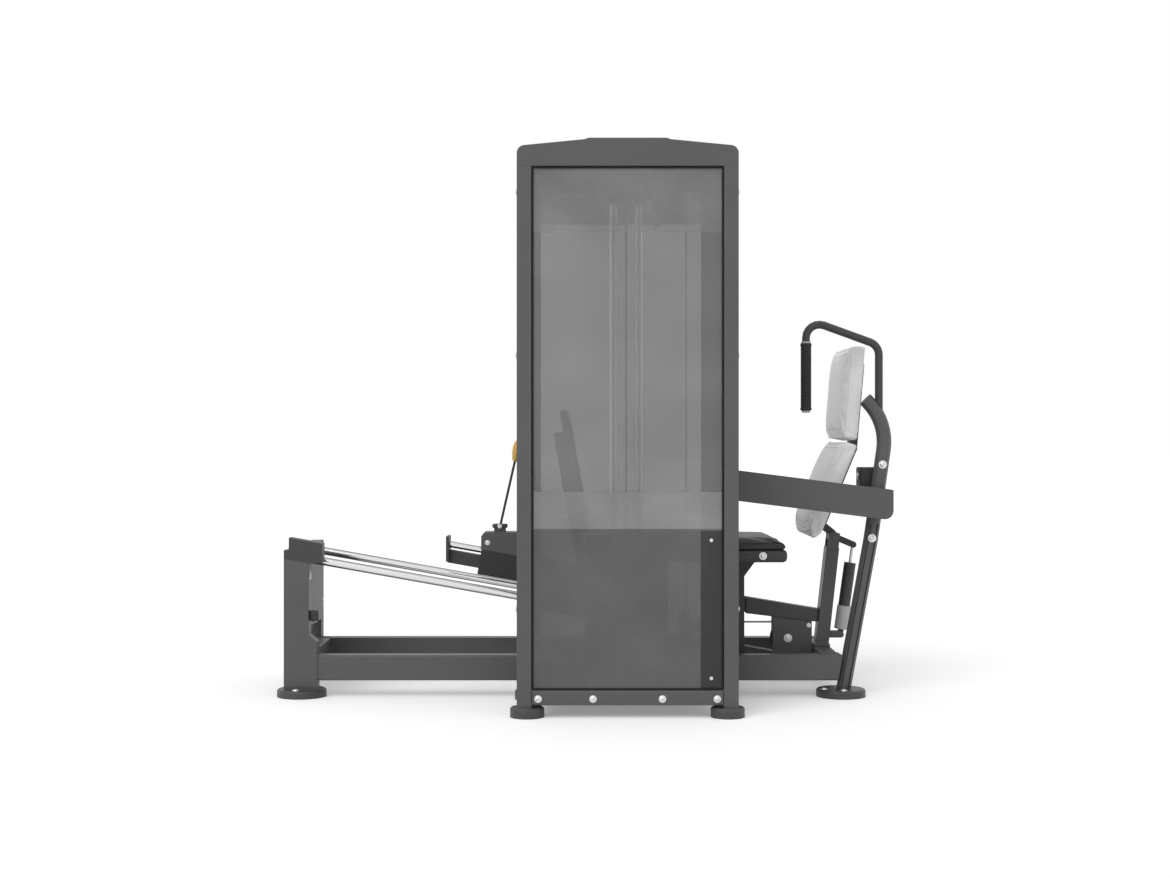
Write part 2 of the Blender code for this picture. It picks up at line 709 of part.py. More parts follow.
def leaning_cushion(name, low_front, high_front, thickness, half_width, finish, foot=0.0):
    """Back cushion whose front face runs between two (x, z) points and faces the sled."""
    lean = Vector((high_front[0] - low_front[0], 0, high_front[1] - low_front[1]))
    item = cushion_body(name, lean.length, 2 * half_width, thickness, finish, BACK_CROWN, CUSHION_WAIST, foot)
    along = lean.normalized()
    side = Vector((0, 1, 0))
    front = along.cross(side).normalized()
    if front.x > 0:
        front = -front
        side = -side
    middle = (Vector((low_front[0], 0, low_front[1])) + Vector((high_front[0], 0, high_front[1]))) / 2
    centre = middle - front * thickness + Vector((0, MID_Y, 0))
    item.matrix_world = Matrix.Translation(centre) @ Matrix((along, side, front)).transposed().to_4x4()
    return item


def lower_drive():
    """Inclined spine in front of the backrest pillar, and the pulley block under it."""
    slope = (SPINE_LEFT_Z - SPINE_RIGHT_Z) / (SPINE_RIGHT - SPINE_LEFT)
    right_low = pillar_edge(SPINE_RIGHT_Z)
    right_high = pillar_edge(SPINE_RIGHT_Z + SPINE_RIGHT_HEIGHT)
    outline = [(SPINE_LEFT, SPINE_LEFT_Z), (right_low, SPINE_RIGHT_Z),
               (right_high, SPINE_RIGHT_Z + SPINE_RIGHT_HEIGHT),
               (SPINE_LEFT, SPINE_LEFT_Z + SPINE_LEFT_HEIGHT)]
    plate("lower_spine", outline, MID_Y, 0.050, FRAME_GREY, ROUND_EDGE)

    def under_spine(x):
        return SPINE_LEFT_Z - slope * (x - SPINE_LEFT) - GAP

    cheek = [(BLOCK_LEFT, BLOCK_BOTTOM), (BLOCK_RIGHT, BLOCK_BOTTOM), (BLOCK_RIGHT, under_spine(BLOCK_RIGHT)),
             (BLOCK_LEFT, under_spine(BLOCK_LEFT))]
    web_left = BLOCK_RIGHT - 0.012
    web_right = BLOCK_RIGHT - 0.001
    web_low = BLOCK_BOTTOM + 0.001
    web = [(web_left, web_low), (web_right, web_low), (web_right, under_spine(web_right) - 0.001),
           (web_left, under_spine(web_left) - 0.001)]
    block = plate("low_pulley_block", cheek, MID_Y - 0.018, PLATE, DARK_GREY)
    far_cheek = plate("low_pulley_far_cheek", cheek, MID_Y + 0.018, PLATE, DARK_GREY)
    web = plate("low_pulley_web", web, MID_Y, 0.040, DARK_GREY)
    axle = rod("low_pulley_axle", (LOW_PULLEY_X, MID_Y - 0.024, LOW_PULLEY_Z),
               (LOW_PULLEY_X, MID_Y + 0.024, LOW_PULLEY_Z),
               AXLE_RADIUS, DARK_GREY)
    joined(block, web, far_cheek, axle)


def in_plane(points, y):
    return [(x, y, z) for x, z in points]


def rear_frame():
    """Backrest pillar with its hinge ears, the curved rear upright, its handle and the wrap-round arm."""
    head_x, head_z = PILLAR_HEAD
    lean = Vector((PILLAR_HEAD[0] - PILLAR_FOOT[0], PILLAR_HEAD[1] - PILLAR_FOOT[1])).normalized()
    foot = (PILLAR_FOOT[0] + lean.x * 0.004, MID_Y, PILLAR_FOOT[1] + lean.y * 0.004)
    neck_x = head_x - lean.x * 0.032
    neck_z = head_z - lean.y * 0.032
    pillar = bar("backrest_pillar", foot, (neck_x, MID_Y, neck_z), PILLAR_WIDTH, PILLAR_DEPTH, FRAME_GREY,
                 bevel=0)
    shoe = box("pillar_shoe", (CROSS_RIGHT[0] + 0.002, MID_Y - 0.04, BEAM_TOP + GAP),
               (CROSS_RIGHT[1] - 0.002, MID_Y + 0.04, BEAM_TOP + 0.008), FRAME_GREY, bevel=0)
    ears = []
    for side in (-1, 1):
        middle = MID_Y + side * 0.0295
        ears.append(bar("pillar_ear", (neck_x - lean.x * 0.01, middle, neck_z - lean.y * 0.01),
                        (head_x + lean.x * 0.014, middle,
                         head_z + lean.y * 0.014), 0.007, 0.034, FRAME_GREY, bevel=0))
    pin = rod("backrest_pin", (head_x, MID_Y - 0.036, head_z), (head_x, MID_Y + 0.036, head_z), AXLE_RADIUS,
              DARK_GREY)
    mount = strut_ears("strut_foot", STRUT_LOW, (CROSS_RIGHT[1] - 0.02, STRUT_LOW[1]), DARK_GREY)
    joined(pillar, shoe, *ears, pin, *mount)

    upright_run = filleted(in_plane([UPRIGHT_FOOT, UPRIGHT_KNEE, UPRIGHT_CORNER, UPRIGHT_END], NEAR_Y),
                           UPRIGHT_BEND, 8)
    upright = tube("rear_upright", upright_run, UPRIGHT_RADIUS, FRAME_GREY)
    plate_under = disc("rear_floor_plate", DISC_RIGHT_X, NEAR_Y, DISC_RADIUS, DISC_HEIGHT, DARK_GREY)
    joined(upright, plate_under)

    corner_z = HANDLE_BEND_Z
    far_z = corner_z + (HANDLE_X - GRIP_X) * math.tan(HANDLE_SLOPE)
    run = filleted(in_plane([(HANDLE_X, HANDLE_FOOT_Z), (HANDLE_X, corner_z), (GRIP_X, far_z),
                             (GRIP_X, GRIP_LOW + 0.008)],
                            NEAR_Y), 0.040, 6)
    handle = tube("over_shoulder_handle", run, HANDLE_RADIUS, DARK_GREY)
    cut(handle, tube("handle_seat", upright_run, UPRIGHT_RADIUS + GAP, DARK_GREY))
    bore = HANDLE_RADIUS + GAP
    profile = [(0, GRIP_LOW + 0.007), (bore, GRIP_LOW + 0.007), (bore, GRIP_HIGH), (GRIP_RADIUS, GRIP_HIGH),
               (GRIP_RADIUS, GRIP_LOW + 0.003), (GRIP_RADIUS - 0.003, GRIP_LOW), (0, GRIP_LOW)]
    turned("handle_grip", profile, BLACK_RUBBER, (GRIP_X, NEAR_Y, 0), (0, 0, 1), 24)

    left = TOWER_RIGHT + GAP
    right = ARM_RIGHT
    drop = (right - left) * math.tan(ARM_SLOPE)
    top = ARM_LEFT_TOP
    tall = ARM_HEIGHT
    wrap_low = top - drop - tall
    corner = (right - ARM_CORNER,
              wrap_low + ARM_CORNER * (math.tan(ARM_SLOPE) + 1 / math.cos(ARM_SLOPE)))
    outline = [(left, top - tall), (left, top), (right, top - drop)]
    outline += arc(corner, ARM_CORNER, 0, -90 - math.degrees(ARM_SLOPE), 5)
    arm = plate("wrap_round_arm", outline, ARM_Y, ARM_THICKNESS, FRAME_GREY)
    wrap_left = upright_edge(wrap_low + tall, 1) + 0.001
    inside = ARM_CORNER - 0.0005
    wrap_outline = [(wrap_left, wrap_low + tall + 0.0005), (right - 0.0005, wrap_low + tall + 0.0005)]
    wrap_outline += arc(corner, inside, 0, -math.degrees(math.acos((wrap_left - corner[0]) / inside)), 4)
    wrap = plate("arm_wrap", wrap_outline, (ARM_Y + ARM_WRAP_Y) / 2, ARM_WRAP_Y - ARM_Y, FRAME_GREY)
    boss_z = (wrap_low + tall / 2)
    boss_x = (upright_edge(boss_z, -1) + upright_edge(boss_z, 1)) / 2
    boss = rod("arm_boss", (boss_x, ARM_Y, boss_z), (boss_x, NEAR_Y - UPRIGHT_RADIUS - GAP, boss_z), 0.014,
               FRAME_GREY)
    joined(arm, wrap, boss)


def strut_ears(name, pivot, anchor, finish):
    """Two round-ended cheeks with a pin for one end of the gas strut, from an anchor inside their carrier."""
    away = math.degrees(math.atan2(pivot[1] - anchor[1], pivot[0] - anchor[0]))
    half = 0.010
    outline = arc(pivot, half, away - 90, away + 90, 10)
    outline += arc(anchor, half, away + 90, away + 91, 1)[:1] + arc(anchor, half, away - 90, away - 89, 1)[:1]
    parts = [plate(name + "_cheek", outline, MID_Y + side * 0.0125, 0.005, finish) for side in (-1, 1)]
    parts.append(rod(name + "_pin", (pivot[0], MID_Y - 0.0165, pivot[1]),
                     (pivot[0], MID_Y + 0.0165, pivot[1]),
                     STRUT_PIN_RADIUS, finish, 20))
    return parts


def eye(name, pivot, outer, bore, half_width, finish):
    """Short sleeve on a pivot that runs along Y."""
    profile = [(bore, half_width), (outer, half_width), (outer, -half_width), (bore, -half_width),
               (bore, half_width)]
    return turned(name, profile, finish, (pivot[0], MID_Y, pivot[1]), (0, 1, 0), 24)


def behind(low, high, along, distance):
    """Point at a distance behind a cushion's front line, measured from the line's low end."""
    direction = Vector((high[0] - low[0], high[1] - low[1])).normalized()
    return (low[0] + direction.x * along + direction.y * distance,
            low[1] + direction.y * along - direction.x * distance)


def crossing(first_low, first_high, second_low, second_high):
    """Point where two straight lines in the XZ plane meet."""
    start = Vector(first_low)
    run = Vector(first_high) - start
    other = Vector(second_low)
    other_run = Vector(second_high) - other
    share = (other - start).cross(other_run) / run.cross(other_run)
    return start + run * share


def backrest():
    """Reclining carrier with its two cushions, the gas strut behind it and the recline lock box."""
    head_x, head_z = PILLAR_HEAD
    barrel = eye("backrest_carrier", PILLAR_HEAD, 0.017, PULLEY_BORE, 0.0245, DARK_GREY)
    back = PAD_THICKNESS + CARRIER_DEPTH / 2 + GAP
    low = behind(LOWER_PAD_LOW, LOWER_PAD_HIGH, 0.012, back)
    high = behind(LOWER_PAD_LOW, LOWER_PAD_HIGH, CARRIER_LOWER_REACH, back)
    root = behind(UPPER_PAD_LOW, UPPER_PAD_HIGH, 0.0, back)
    top = behind(UPPER_PAD_LOW, UPPER_PAD_HIGH, CARRIER_UPPER_REACH, back)
    knee_x, knee_z = crossing(low, high, root, top)
    neck = bar("carrier_neck", (head_x, MID_Y, head_z + 0.010), (low[0] + 0.004, MID_Y, low[1] + 0.014),
               0.040, 0.022,
               DARK_GREY, bevel=0)
    lower = bar("carrier_lower", (low[0], MID_Y, low[1]), (knee_x, MID_Y, knee_z), 0.060, CARRIER_DEPTH,
                DARK_GREY, bevel=0)
    upper = bar("carrier_upper", (knee_x, MID_Y, knee_z - 0.006), (top[0], MID_Y, top[1]), 0.058,
                CARRIER_DEPTH, DARK_GREY,
                bevel=0)
    crank = strut_ears("carrier_crank", STRUT_HIGH, (head_x + 0.010, head_z - 0.002), DARK_GREY)
    joined(barrel, neck, lower, upper, *crank)
    cut(barrel, cutter_rod("hinge_bore", (head_x, MID_Y - 0.05, head_z), (head_x, MID_Y + 0.05, head_z),
                           PULLEY_BORE))

    leaning_cushion("lower_back_pad", LOWER_PAD_LOW, LOWER_PAD_HIGH, PAD_THICKNESS, BACK_HALF_WIDTH,
                    LIGHT_VINYL,
                    LOWER_PAD_FOOT)
    leaning_cushion("upper_back_pad", UPPER_PAD_LOW, UPPER_PAD_HIGH, PAD_THICKNESS, BACK_HALF_WIDTH,
                    LIGHT_VINYL)

    strut_low = Vector((STRUT_LOW[0], MID_Y, STRUT_LOW[1]))
    strut_high = Vector((STRUT_HIGH[0], MID_Y, STRUT_HIGH[1]))
    along = (strut_high - strut_low).normalized()
    cylinder = eye("strut_cylinder", STRUT_LOW, 0.010, STRUT_PIN_RADIUS + 0.0005, 0.009, DARK_GREY)
    shell = rod("strut_shell", strut_low + along * 0.016, strut_low + along * STRUT_CYLINDER_LENGTH, 0.0185,
                DARK_GREY)
    lug = bar("strut_lug", strut_low + along * 0.008, strut_low + along * 0.020, 0.018, 0.016, DARK_GREY,
              bevel=0)
    joined(cylinder, lug, shell)
    cut(cylinder, cutter_rod("strut_bore", strut_low + along * 0.03, strut_low + along * 0.5, 0.0056, 20))
    end = eye("strut_rod", STRUT_HIGH, 0.0100, STRUT_PIN_RADIUS + 0.0012, 0.009, BRIGHT_STEEL)
    stem = rod("strut_stem", strut_low + along * 0.16, strut_high - along * 0.0075, 0.005, BRIGHT_STEEL, 16)
    joined(end, stem)

    box("recline_lock_box", (LOCK_LOW[0], NEAR_Y + UPRIGHT_RADIUS + GAP, LOCK_LOW[1]),
        (LOCK_HIGH[0], LOCK_FAR_Y, LOCK_HIGH[1]), BLACK_PLASTIC, bevel=0.004)


def tower():
    """Four posts on round feet, the base, the arched cap, the pulley beam and the two smoked shrouds."""
    post_top = CAP_BOTTOM - GAP
    for x_name, low_x in (("left", TOWER_LEFT), ("right", TOWER_RIGHT - TOWER_POST)):
        foot_x = low_x + (0.028 if x_name == "left" else TOWER_POST - 0.028)
        for y_name, low_y in (("front", TOWER_FRONT), ("rear", TOWER_BACK - TOWER_POST)):
            name = f"tower_{y_name}_{x_name}_post"
            post = box(name, (low_x, low_y, TOWER_FOOT_TOP - 0.003), (low_x + TOWER_POST, low_y + TOWER_POST,
                                                                      post_top),
                       FRAME_GREY, bevel=0)
            foot_y = low_y + 0.030 if y_name == "front" else low_y + TOWER_POST - 0.030
            joined(post, disc(name + "_foot", foot_x, foot_y, TOWER_FOOT_RADIUS, TOWER_FOOT_TOP, DARK_GREY))
    inner_left = TOWER_LEFT + TOWER_POST + GAP
    inner_right = TOWER_RIGHT - TOWER_POST - GAP
    box("tower_base", (inner_left, TOWER_FRONT, RAIL_BOTTOM), (inner_right, TOWER_BACK, RAIL_TOP), FRAME_GREY)

    low = CAP_BOTTOM
    corner_z = CAP_SHOULDER - CAP_CORNER
    middle_x = (TOWER_LEFT + TOWER_RIGHT) / 2
    outer = CROWN_HALF_LENGTH + CROWN_SLOPE
    outline = [(TOWER_LEFT, low), (TOWER_RIGHT, low), (TOWER_RIGHT, corner_z)]
    outline += arc((TOWER_RIGHT - CAP_CORNER, corner_z), CAP_CORNER, 15, 80, 4)
    outline += [(middle_x + outer, TOWER_HEIGHT - CROWN_STEP), (middle_x + CROWN_HALF_LENGTH, TOWER_HEIGHT),
                (middle_x - CROWN_HALF_LENGTH, TOWER_HEIGHT), (middle_x - outer, TOWER_HEIGHT - CROWN_STEP)]
    outline += arc((TOWER_LEFT + CAP_CORNER, corner_z), CAP_CORNER, 100, 165, 4)
    outline.append((TOWER_LEFT, corner_z))
    middle_y = (TOWER_FRONT + TOWER_BACK) / 2
    cap = plate("tower_cap", outline, middle_y, TOWER_BACK - TOWER_FRONT, FRAME_GREY)
    cut(cap, cutter_box("cap_hollow", (TOWER_LEFT + CAP_WALL, TOWER_FRONT + CAP_WALL, CAP_BOTTOM - 0.01),
                        (TOWER_RIGHT - CAP_WALL, TOWER_BACK - CAP_WALL, CAP_ROOF)))

    beam_y = STACK_Y + PULLEY_THICKNESS / 2 + 0.006 + BEAM_PLATE / 2
    beam_left = TOWER_LEFT + BEAM_INSET
    outline = [(beam_left, CAP_BOTTOM - 0.001), (beam_left + BEAM_NOSE, BEAM_LOW), (inner_right, BEAM_LOW),
               (inner_right, CAP_ROOF - GAP), (beam_left, CAP_ROOF - GAP)]
    beam = plate("pulley_beam", outline, beam_y, BEAM_PLATE, DARK_GREY)
    inset = 0.001
    tabs = [box("beam_tab", (x - half, beam_y - BEAM_PLATE / 2 + inset, low),
                (x + half, beam_y + BEAM_PLATE / 2 - inset,
                BEAM_LOW + 0.01), DARK_GREY, bevel=0)
            for x, half, low in ((STACK_X, 0.053, STACK_ROD_TOP + 0.002),
                                 (TOP_PULLEY_X, 0.022, TOP_PULLEY_Z - 0.020))]
    axle_start = STACK_Y - PULLEY_THICKNESS / 2 - 0.004
    axles = [rod("top_axle", (x, axle_start, z), (x, beam_y, z), AXLE_RADIUS, DARK_GREY)
             for x, z in ((TOP_PULLEY_X, TOP_PULLEY_Z), (CROWN_PULLEY_X, CROWN_PULLEY_Z))]
    shelf = box("rod_shelf", (STACK_X - 0.055, STACK_Y - 0.022, STACK_ROD_TOP + GAP),
                (STACK_X + 0.055, beam_y, STACK_ROD_TOP + 0.010), DARK_GREY, bevel=0)
    beam = joined(beam, *tabs, *axles, shelf)
    cut(beam, cutter_rod("shelf_cable_hole", (STACK_X, STACK_Y, STACK_ROD_TOP - 0.04),
                         (STACK_X, STACK_Y, STACK_ROD_TOP + 0.03), 2 * CABLE_RADIUS, 20))

    front_y = TOWER_FRONT + FRONT_SHROUD_INSET
    box("front_shroud", (inner_left, front_y, RAIL_TOP + GAP), (inner_right, front_y + SHROUD_THICKNESS,
                                                                post_top),
        SMOKED_PANEL, bevel=0)
    rear_y = TOWER_BACK - REAR_SHROUD_INSET
    shroud = box("rear_shroud", (inner_left, rear_y - SHROUD_THICKNESS, SHROUD_LOW),
                 (inner_right, rear_y, SHROUD_HIGH),
                 SMOKED_PANEL, bevel=0)
    rail_y = rear_y + 0.004
    rail_top = SHROUD_HIGH + 0.002
    rail = box("rear_shroud_rail", (inner_left, rail_y - SHROUD_RAIL_DEPTH, rail_top - SHROUD_RAIL_HEIGHT),
               (inner_right, rail_y, rail_top), DARK_GREY, bevel=0)
    joined(shroud, rail)


def weight_block(name, bottom, count):
    """A run of equal weight plates: one block with a groove between neighbours on its front and rear."""
    near = STACK_Y - WEIGHT_DEPTH / 2
    far = STACK_Y + WEIGHT_DEPTH / 2
    left = STACK_X - WEIGHT_LENGTH / 2
    right = STACK_X + WEIGHT_LENGTH / 2
    block = box(name, (left, near, bottom), (right, far, bottom + count * WEIGHT_PITCH - GAP), BLACK_IRON,
                bevel=0)
    grooves = []
    for index in range(1, count):
        low = bottom + index * WEIGHT_PITCH - GROOVE_HEIGHT
        for edge in (near, far):
            grooves.append(cutter_box("groove", (left - 0.01, edge - GROOVE_DEPTH, low),
                                      (right + 0.01, edge + GROOVE_DEPTH, low + GROOVE_HEIGHT)))
    return cut(block, *grooves)


def weight_stack():
    """Guide rods, resting plates, selected plates with their stem and pin, and the rubber buffer below."""
    rod_bottom = RAIL_TOP + GAP
    full_low = STACK_BOTTOM + GAP
    lifted_low = full_low + RESTING_COUNT * WEIGHT_PITCH
    lifted_high = lifted_low + LIFTED_COUNT * WEIGHT_PITCH
    resting = weight_block("resting_weights", full_low, RESTING_COUNT)
    lifted = weight_block("selected_weights", lifted_low, LIFTED_COUNT)
    buffer = box("stack_buffer", (STACK_X - 0.08, STACK_Y - 0.045, rod_bottom),
                 (STACK_X + 0.08, STACK_Y + 0.045, STACK_BOTTOM),
                 BLACK_RUBBER, bevel=0)
    resting_bores = []
    lifted_bores = []
    buffer_bores = []
    for side, name in ((-1, "left"), (1, "right")):
        x = STACK_X + side * STACK_ROD_HALF_SPACING
        low = (x, STACK_Y, 0.05)
        high = (x, STACK_Y, 0.60)
        rod(f"stack_{name}_guide_rod", (x, STACK_Y, rod_bottom), (x, STACK_Y, STACK_ROD_TOP),
            STACK_ROD_RADIUS, CHROME, 24)
        resting_bores.append(cutter_rod("resting_bore", low, high, STACK_ROD_RADIUS + 0.0006, 24))
        lifted_bores.append(cutter_rod("lifted_bore", low, high, STACK_ROD_RADIUS + 0.0006, 24))
        buffer_bores.append(cutter_rod("buffer_bore", low, high, STACK_ROD_RADIUS + 0.0006, 24))
    stem_low = (STACK_X, STACK_Y, 0.05)
    stem_high = (STACK_X, STACK_Y, 0.60)
    resting_bores.append(cutter_rod("stem_bore", stem_low, stem_high, STEM_RADIUS + 0.0010, 24))
    lifted_bores.append(cutter_rod("lifted_stem_bore", stem_low, stem_high, STEM_RADIUS + GAP, 24))
    pin_z = lifted_low + WEIGHT_PITCH / 2
    pin_start = STACK_Y + STEM_RADIUS + 0.0012
    far = STACK_Y + WEIGHT_DEPTH / 2
    lifted_bores.append(cutter_rod("pin_hole", (STACK_X, STACK_Y, pin_z), (STACK_X, far + 0.01, pin_z),
                                   PIN_RADIUS + 0.0006, 20))
    cut(resting, *resting_bores)
    cut(lifted, *lifted_bores)
    cut(buffer, *buffer_bores)

    stem = rod("selector_stem", (STACK_X, STACK_Y, STACK_BOTTOM + 0.010),
               (STACK_X, STACK_Y, lifted_high + 0.036),
               STEM_RADIUS, BRIGHT_STEEL, 20)
    collar = rod("stem_collar", (STACK_X, STACK_Y, lifted_high + GAP),
                 (STACK_X, STACK_Y, lifted_high + 0.022), 0.017,
                 BRIGHT_STEEL, 20)
    joined(stem, collar)
    knob_top = far + PIN_KNOB_LENGTH - pin_start
    knob_foot = far + 0.002 - pin_start
    profile = [(0, knob_top), (PIN_KNOB_RADIUS - 0.003, knob_top), (PIN_KNOB_RADIUS, knob_top - 0.006),
               (PIN_KNOB_RADIUS, knob_foot + 0.004), (PIN_RADIUS, knob_foot), (PIN_RADIUS, 0), (0, 0)]
    turned("selector_pin", profile, AMBER, (STACK_X, pin_start, pin_z), (0, 1, 0), 20)


def cable_drive():
    """Five pulleys, the two corner brackets and the steel cable from the sled to the stack."""
    corner = CORNER_PULLEY_RADIUS
    bend_x = RISE_X + corner
    bend_y = MID_Y - corner
    rise_y = STACK_Y + corner
    rise_z = CROSS_RUN_Z + corner
    pulley("low_pulley", (LOW_PULLEY_X, MID_Y, LOW_PULLEY_Z), (0, 1, 0), LOW_PULLEY_RADIUS)
    pulley("bend_pulley", (bend_x, bend_y, CROSS_RUN_Z), (0, 0, 1), corner)
    pulley("rise_pulley", (RISE_X, rise_y, rise_z), (1, 0, 0), corner)
    pulley("top_pulley", (TOP_PULLEY_X, STACK_Y, TOP_PULLEY_Z), (0, 1, 0), TOP_PULLEY_RADIUS)
    pulley("crown_pulley", (CROWN_PULLEY_X, STACK_Y, CROWN_PULLEY_Z), (0, 1, 0), TOP_PULLEY_RADIUS)

    half = PULLEY_THICKNESS / 2
    shelf_top = CROSS_RUN_Z - half - 0.003
    shelf = box("bend_pulley_bracket", (bend_x - 0.025, bend_y - 0.022, shelf_top - 0.010),
                (CROSS_MID[0] - GAP, bend_y + 0.022, shelf_top), DARK_GREY, bevel=0)
    joined(shelf, rod("bend_axle", (bend_x, bend_y, shelf_top - 0.005),
                      (bend_x, bend_y, CROSS_RUN_Z + half + 0.004),
                      AXLE_RADIUS, DARK_GREY))
    cheek_x = RISE_X + half + 0.003
    cheek = box("rise_pulley_bracket", (cheek_x, rise_y - 0.020, RAIL_TOP + GAP),
                (cheek_x + PLATE, rise_y + 0.020, rise_z + 0.018),
                DARK_GREY, bevel=0)
    joined(cheek, rod("rise_axle", (RISE_X - half - 0.004, rise_y, rise_z), (cheek_x + 0.003, rise_y, rise_z),
                      AXLE_RADIUS, DARK_GREY))

    tilt = math.degrees(TILT)
    run_end = low_run_point(CABLE_HOLD_X)
    route = [run_end]
    route += in_plane(arc((LOW_PULLEY_X, LOW_PULLEY_Z), LOW_PULLEY_RADIUS, -90 - tilt, 90, 14), MID_Y)
    route += [(x, y, CROSS_RUN_Z) for x, y in arc((bend_x, bend_y), corner, 90, 180, 6)]
    route += [(RISE_X, y, z) for y, z in arc((rise_y, rise_z), corner, -90, -180, 6)]
    across = math.degrees(math.atan2(CROWN_PULLEY_Z - TOP_PULLEY_Z, CROWN_PULLEY_X - TOP_PULLEY_X)) - 90
    route += in_plane(arc((TOP_PULLEY_X, TOP_PULLEY_Z), TOP_PULLEY_RADIUS, 0, across, 4), STACK_Y)
    route += in_plane(arc((CROWN_PULLEY_X, CROWN_PULLEY_Z), TOP_PULLEY_RADIUS, across, 180, 8), STACK_Y)
    route.append((STACK_X, STACK_Y, CABLE_HOLD_Z))
    tube("cable_route", route, CABLE_RADIUS, BRIGHT_STEEL, 2)

    anchor_x, anchor_z = on_slope(ANCHOR_ALONG - GAP, cable_above())
    end_x, end_y, end_z = low_run_point(CABLE_HOLD_X - GAP)
    rod("cable_sled_run", (anchor_x, MID_Y, anchor_z), (end_x, end_y, end_z), CABLE_RADIUS, BRIGHT_STEEL, 12)
    stem_top = STACK_BOTTOM + (RESTING_COUNT + LIFTED_COUNT) * WEIGHT_PITCH + 0.037
    rod("cable_stack_run", (STACK_X, STACK_Y, CABLE_HOLD_Z - GAP), (STACK_X, STACK_Y, stem_top), CABLE_RADIUS,
        BRIGHT_STEEL, 12)


def low_run_point(x):
    """Point of the inclined cable run, tangent to the low pulley from below and parallel to the rods."""
    touch_x = LOW_PULLEY_X - LOW_PULLEY_RADIUS * math.sin(TILT)
    touch_z = LOW_PULLEY_Z - LOW_PULLEY_RADIUS * math.cos(TILT)
    return x, MID_Y, touch_z + (touch_x - x) * math.tan(TILT)


def cable_above():
    """Height of the inclined cable run over the guide rods' centre line, square to it; below is negative."""
    return (low_run_point(0)[2] - ROD_HEIGHT_AT_ORIGIN) * math.cos(TILT)


def sled():
    """Carriage with its bearings, and the clamp block with the release lever and its knob."""
    carriage = slope_box("sled_carriage", (CARRIAGE_LOW, CARRIAGE_HIGH), (CARRIAGE_UNDER, CARRIAGE_TOP),
                         0.045,
                         BLACK_PLASTIC, bevel=0)
    shapes = [slope_box("bearing_yoke", (YOKE_LOW, YOKE_HIGH), (0.016, CARRIAGE_UNDER + 0.008), 0.190,
                        BLACK_PLASTIC, bevel=0)]
    bores = []
    for side in (-1, 1):
        y = MID_Y + side * ROD_HALF_SPACING
        shapes.append(slope_box("bearing_housing", (YOKE_LOW, YOKE_HIGH), (-0.028, 0.030), 0.026,
                                BLACK_PLASTIC, bevel=0,
                                middle_y=y))
        far_x, far_z = on_slope(YOKE_HIGH + 0.02, 0)
        near_x, near_z = on_slope(YOKE_LOW - 0.02, 0)
        bores.append(cutter_rod("bearing_bore", (far_x, y, far_z), (near_x, y, near_z), ROD_RADIUS + 0.0008))
    shapes.append(slope_box("cable_tab", (ANCHOR_ALONG, ANCHOR_ALONG + 0.040),
                            (cable_above() - 0.011, 0.022), 0.006,
                            BLACK_PLASTIC, bevel=0))
    joined(carriage, *shapes)
    past = (CARRIAGE_LOW - 0.05, CARRIAGE_HIGH + 0.05)
    channel = slope_box("bar_channel", past, (BAR_UNDER - RUNNING_GAP, BAR_TOP + RUNNING_GAP),
                        BAR_HALF_WIDTH + RUNNING_GAP,
                        None, 0, CUTTERS)
    groove = slope_box("adjuster_groove", past, (BAR_TOP, CARRIAGE_TOP + 0.01), ADJUSTER_RADIUS + 0.0013,
                       None, 0, CUTTERS)
    slot = slope_box("post_slot", (CARRIAGE_LOW - 0.05, SLOT_HIGH), (BAR_TOP, CARRIAGE_TOP + 0.01),
                     BAR_HALF_WIDTH + RUNNING_GAP,
                     None, 0, CUTTERS)
    cut(carriage, *bores, channel, groove, slot)

    def carriage_top(x):
        return rod_line(x) + (CARRIAGE_TOP + GAP) / math.cos(TILT)

    outline = [(CLAMP_LEFT, carriage_top(CLAMP_LEFT)), (CLAMP_RIGHT, carriage_top(CLAMP_RIGHT)),
               (CLAMP_RIGHT, CLAMP_TOP),
               (CLAMP_LEFT + 0.010, CLAMP_TOP), (CLAMP_LEFT, CLAMP_TOP - 0.012)]
    clamp = plate("clamp_block", outline, MID_Y, CLAMP_WIDTH, FRAME_GREY)
    pivot_x, pivot_z = LEVER_PIVOT
    ears = [box("lever_ear", (pivot_x - 0.018, MID_Y + side * 0.0115 - 0.0025, CLAMP_TOP - 0.003),
                (pivot_x + 0.018, MID_Y + side * 0.0115 + 0.0025,
                 pivot_z + 0.009), FRAME_GREY, bevel=0) for side in (-1, 1)]
    pin = rod("lever_pin", (pivot_x, MID_Y - 0.014, pivot_z), (pivot_x, MID_Y + 0.014, pivot_z), 0.004,
              FRAME_GREY, 20)
    clamp = joined(clamp, *ears, pin)
    cut(clamp, slope_box("clamp_groove", past, (BAR_TOP, ADJUSTER_ABOVE + ADJUSTER_RADIUS + 0.0013),
                         ADJUSTER_RADIUS + 0.0013, None, 0, CUTTERS))

    pivot = Vector((pivot_x, MID_Y, pivot_z))
    along = Vector((KNOB_FOOT[0] - pivot_x, 0, KNOB_FOOT[1] - pivot_z)).normalized()
    foot = Vector((KNOB_FOOT[0], MID_Y, KNOB_FOOT[1]))
    lever = eye("release_lever", LEVER_PIVOT, 0.008, 0.0046, 0.0075, DARK_GREY)
    joined(lever, rod("lever_shaft", pivot + along * 0.0068, foot + along * 0.013, LEVER_RADIUS, DARK_GREY,
                      16))
    bore = LEVER_RADIUS + GAP
    profile = [(0, 0.068), (0.008, 0.066), (0.014, 0.058), (0.0165, 0.042), (0.0145, 0.022), (0.0090, 0.0),
               (bore, 0.0), (bore, 0.0135), (0, 0.0135)]
    turned("release_knob", profile, AMBER, foot, along, 20)


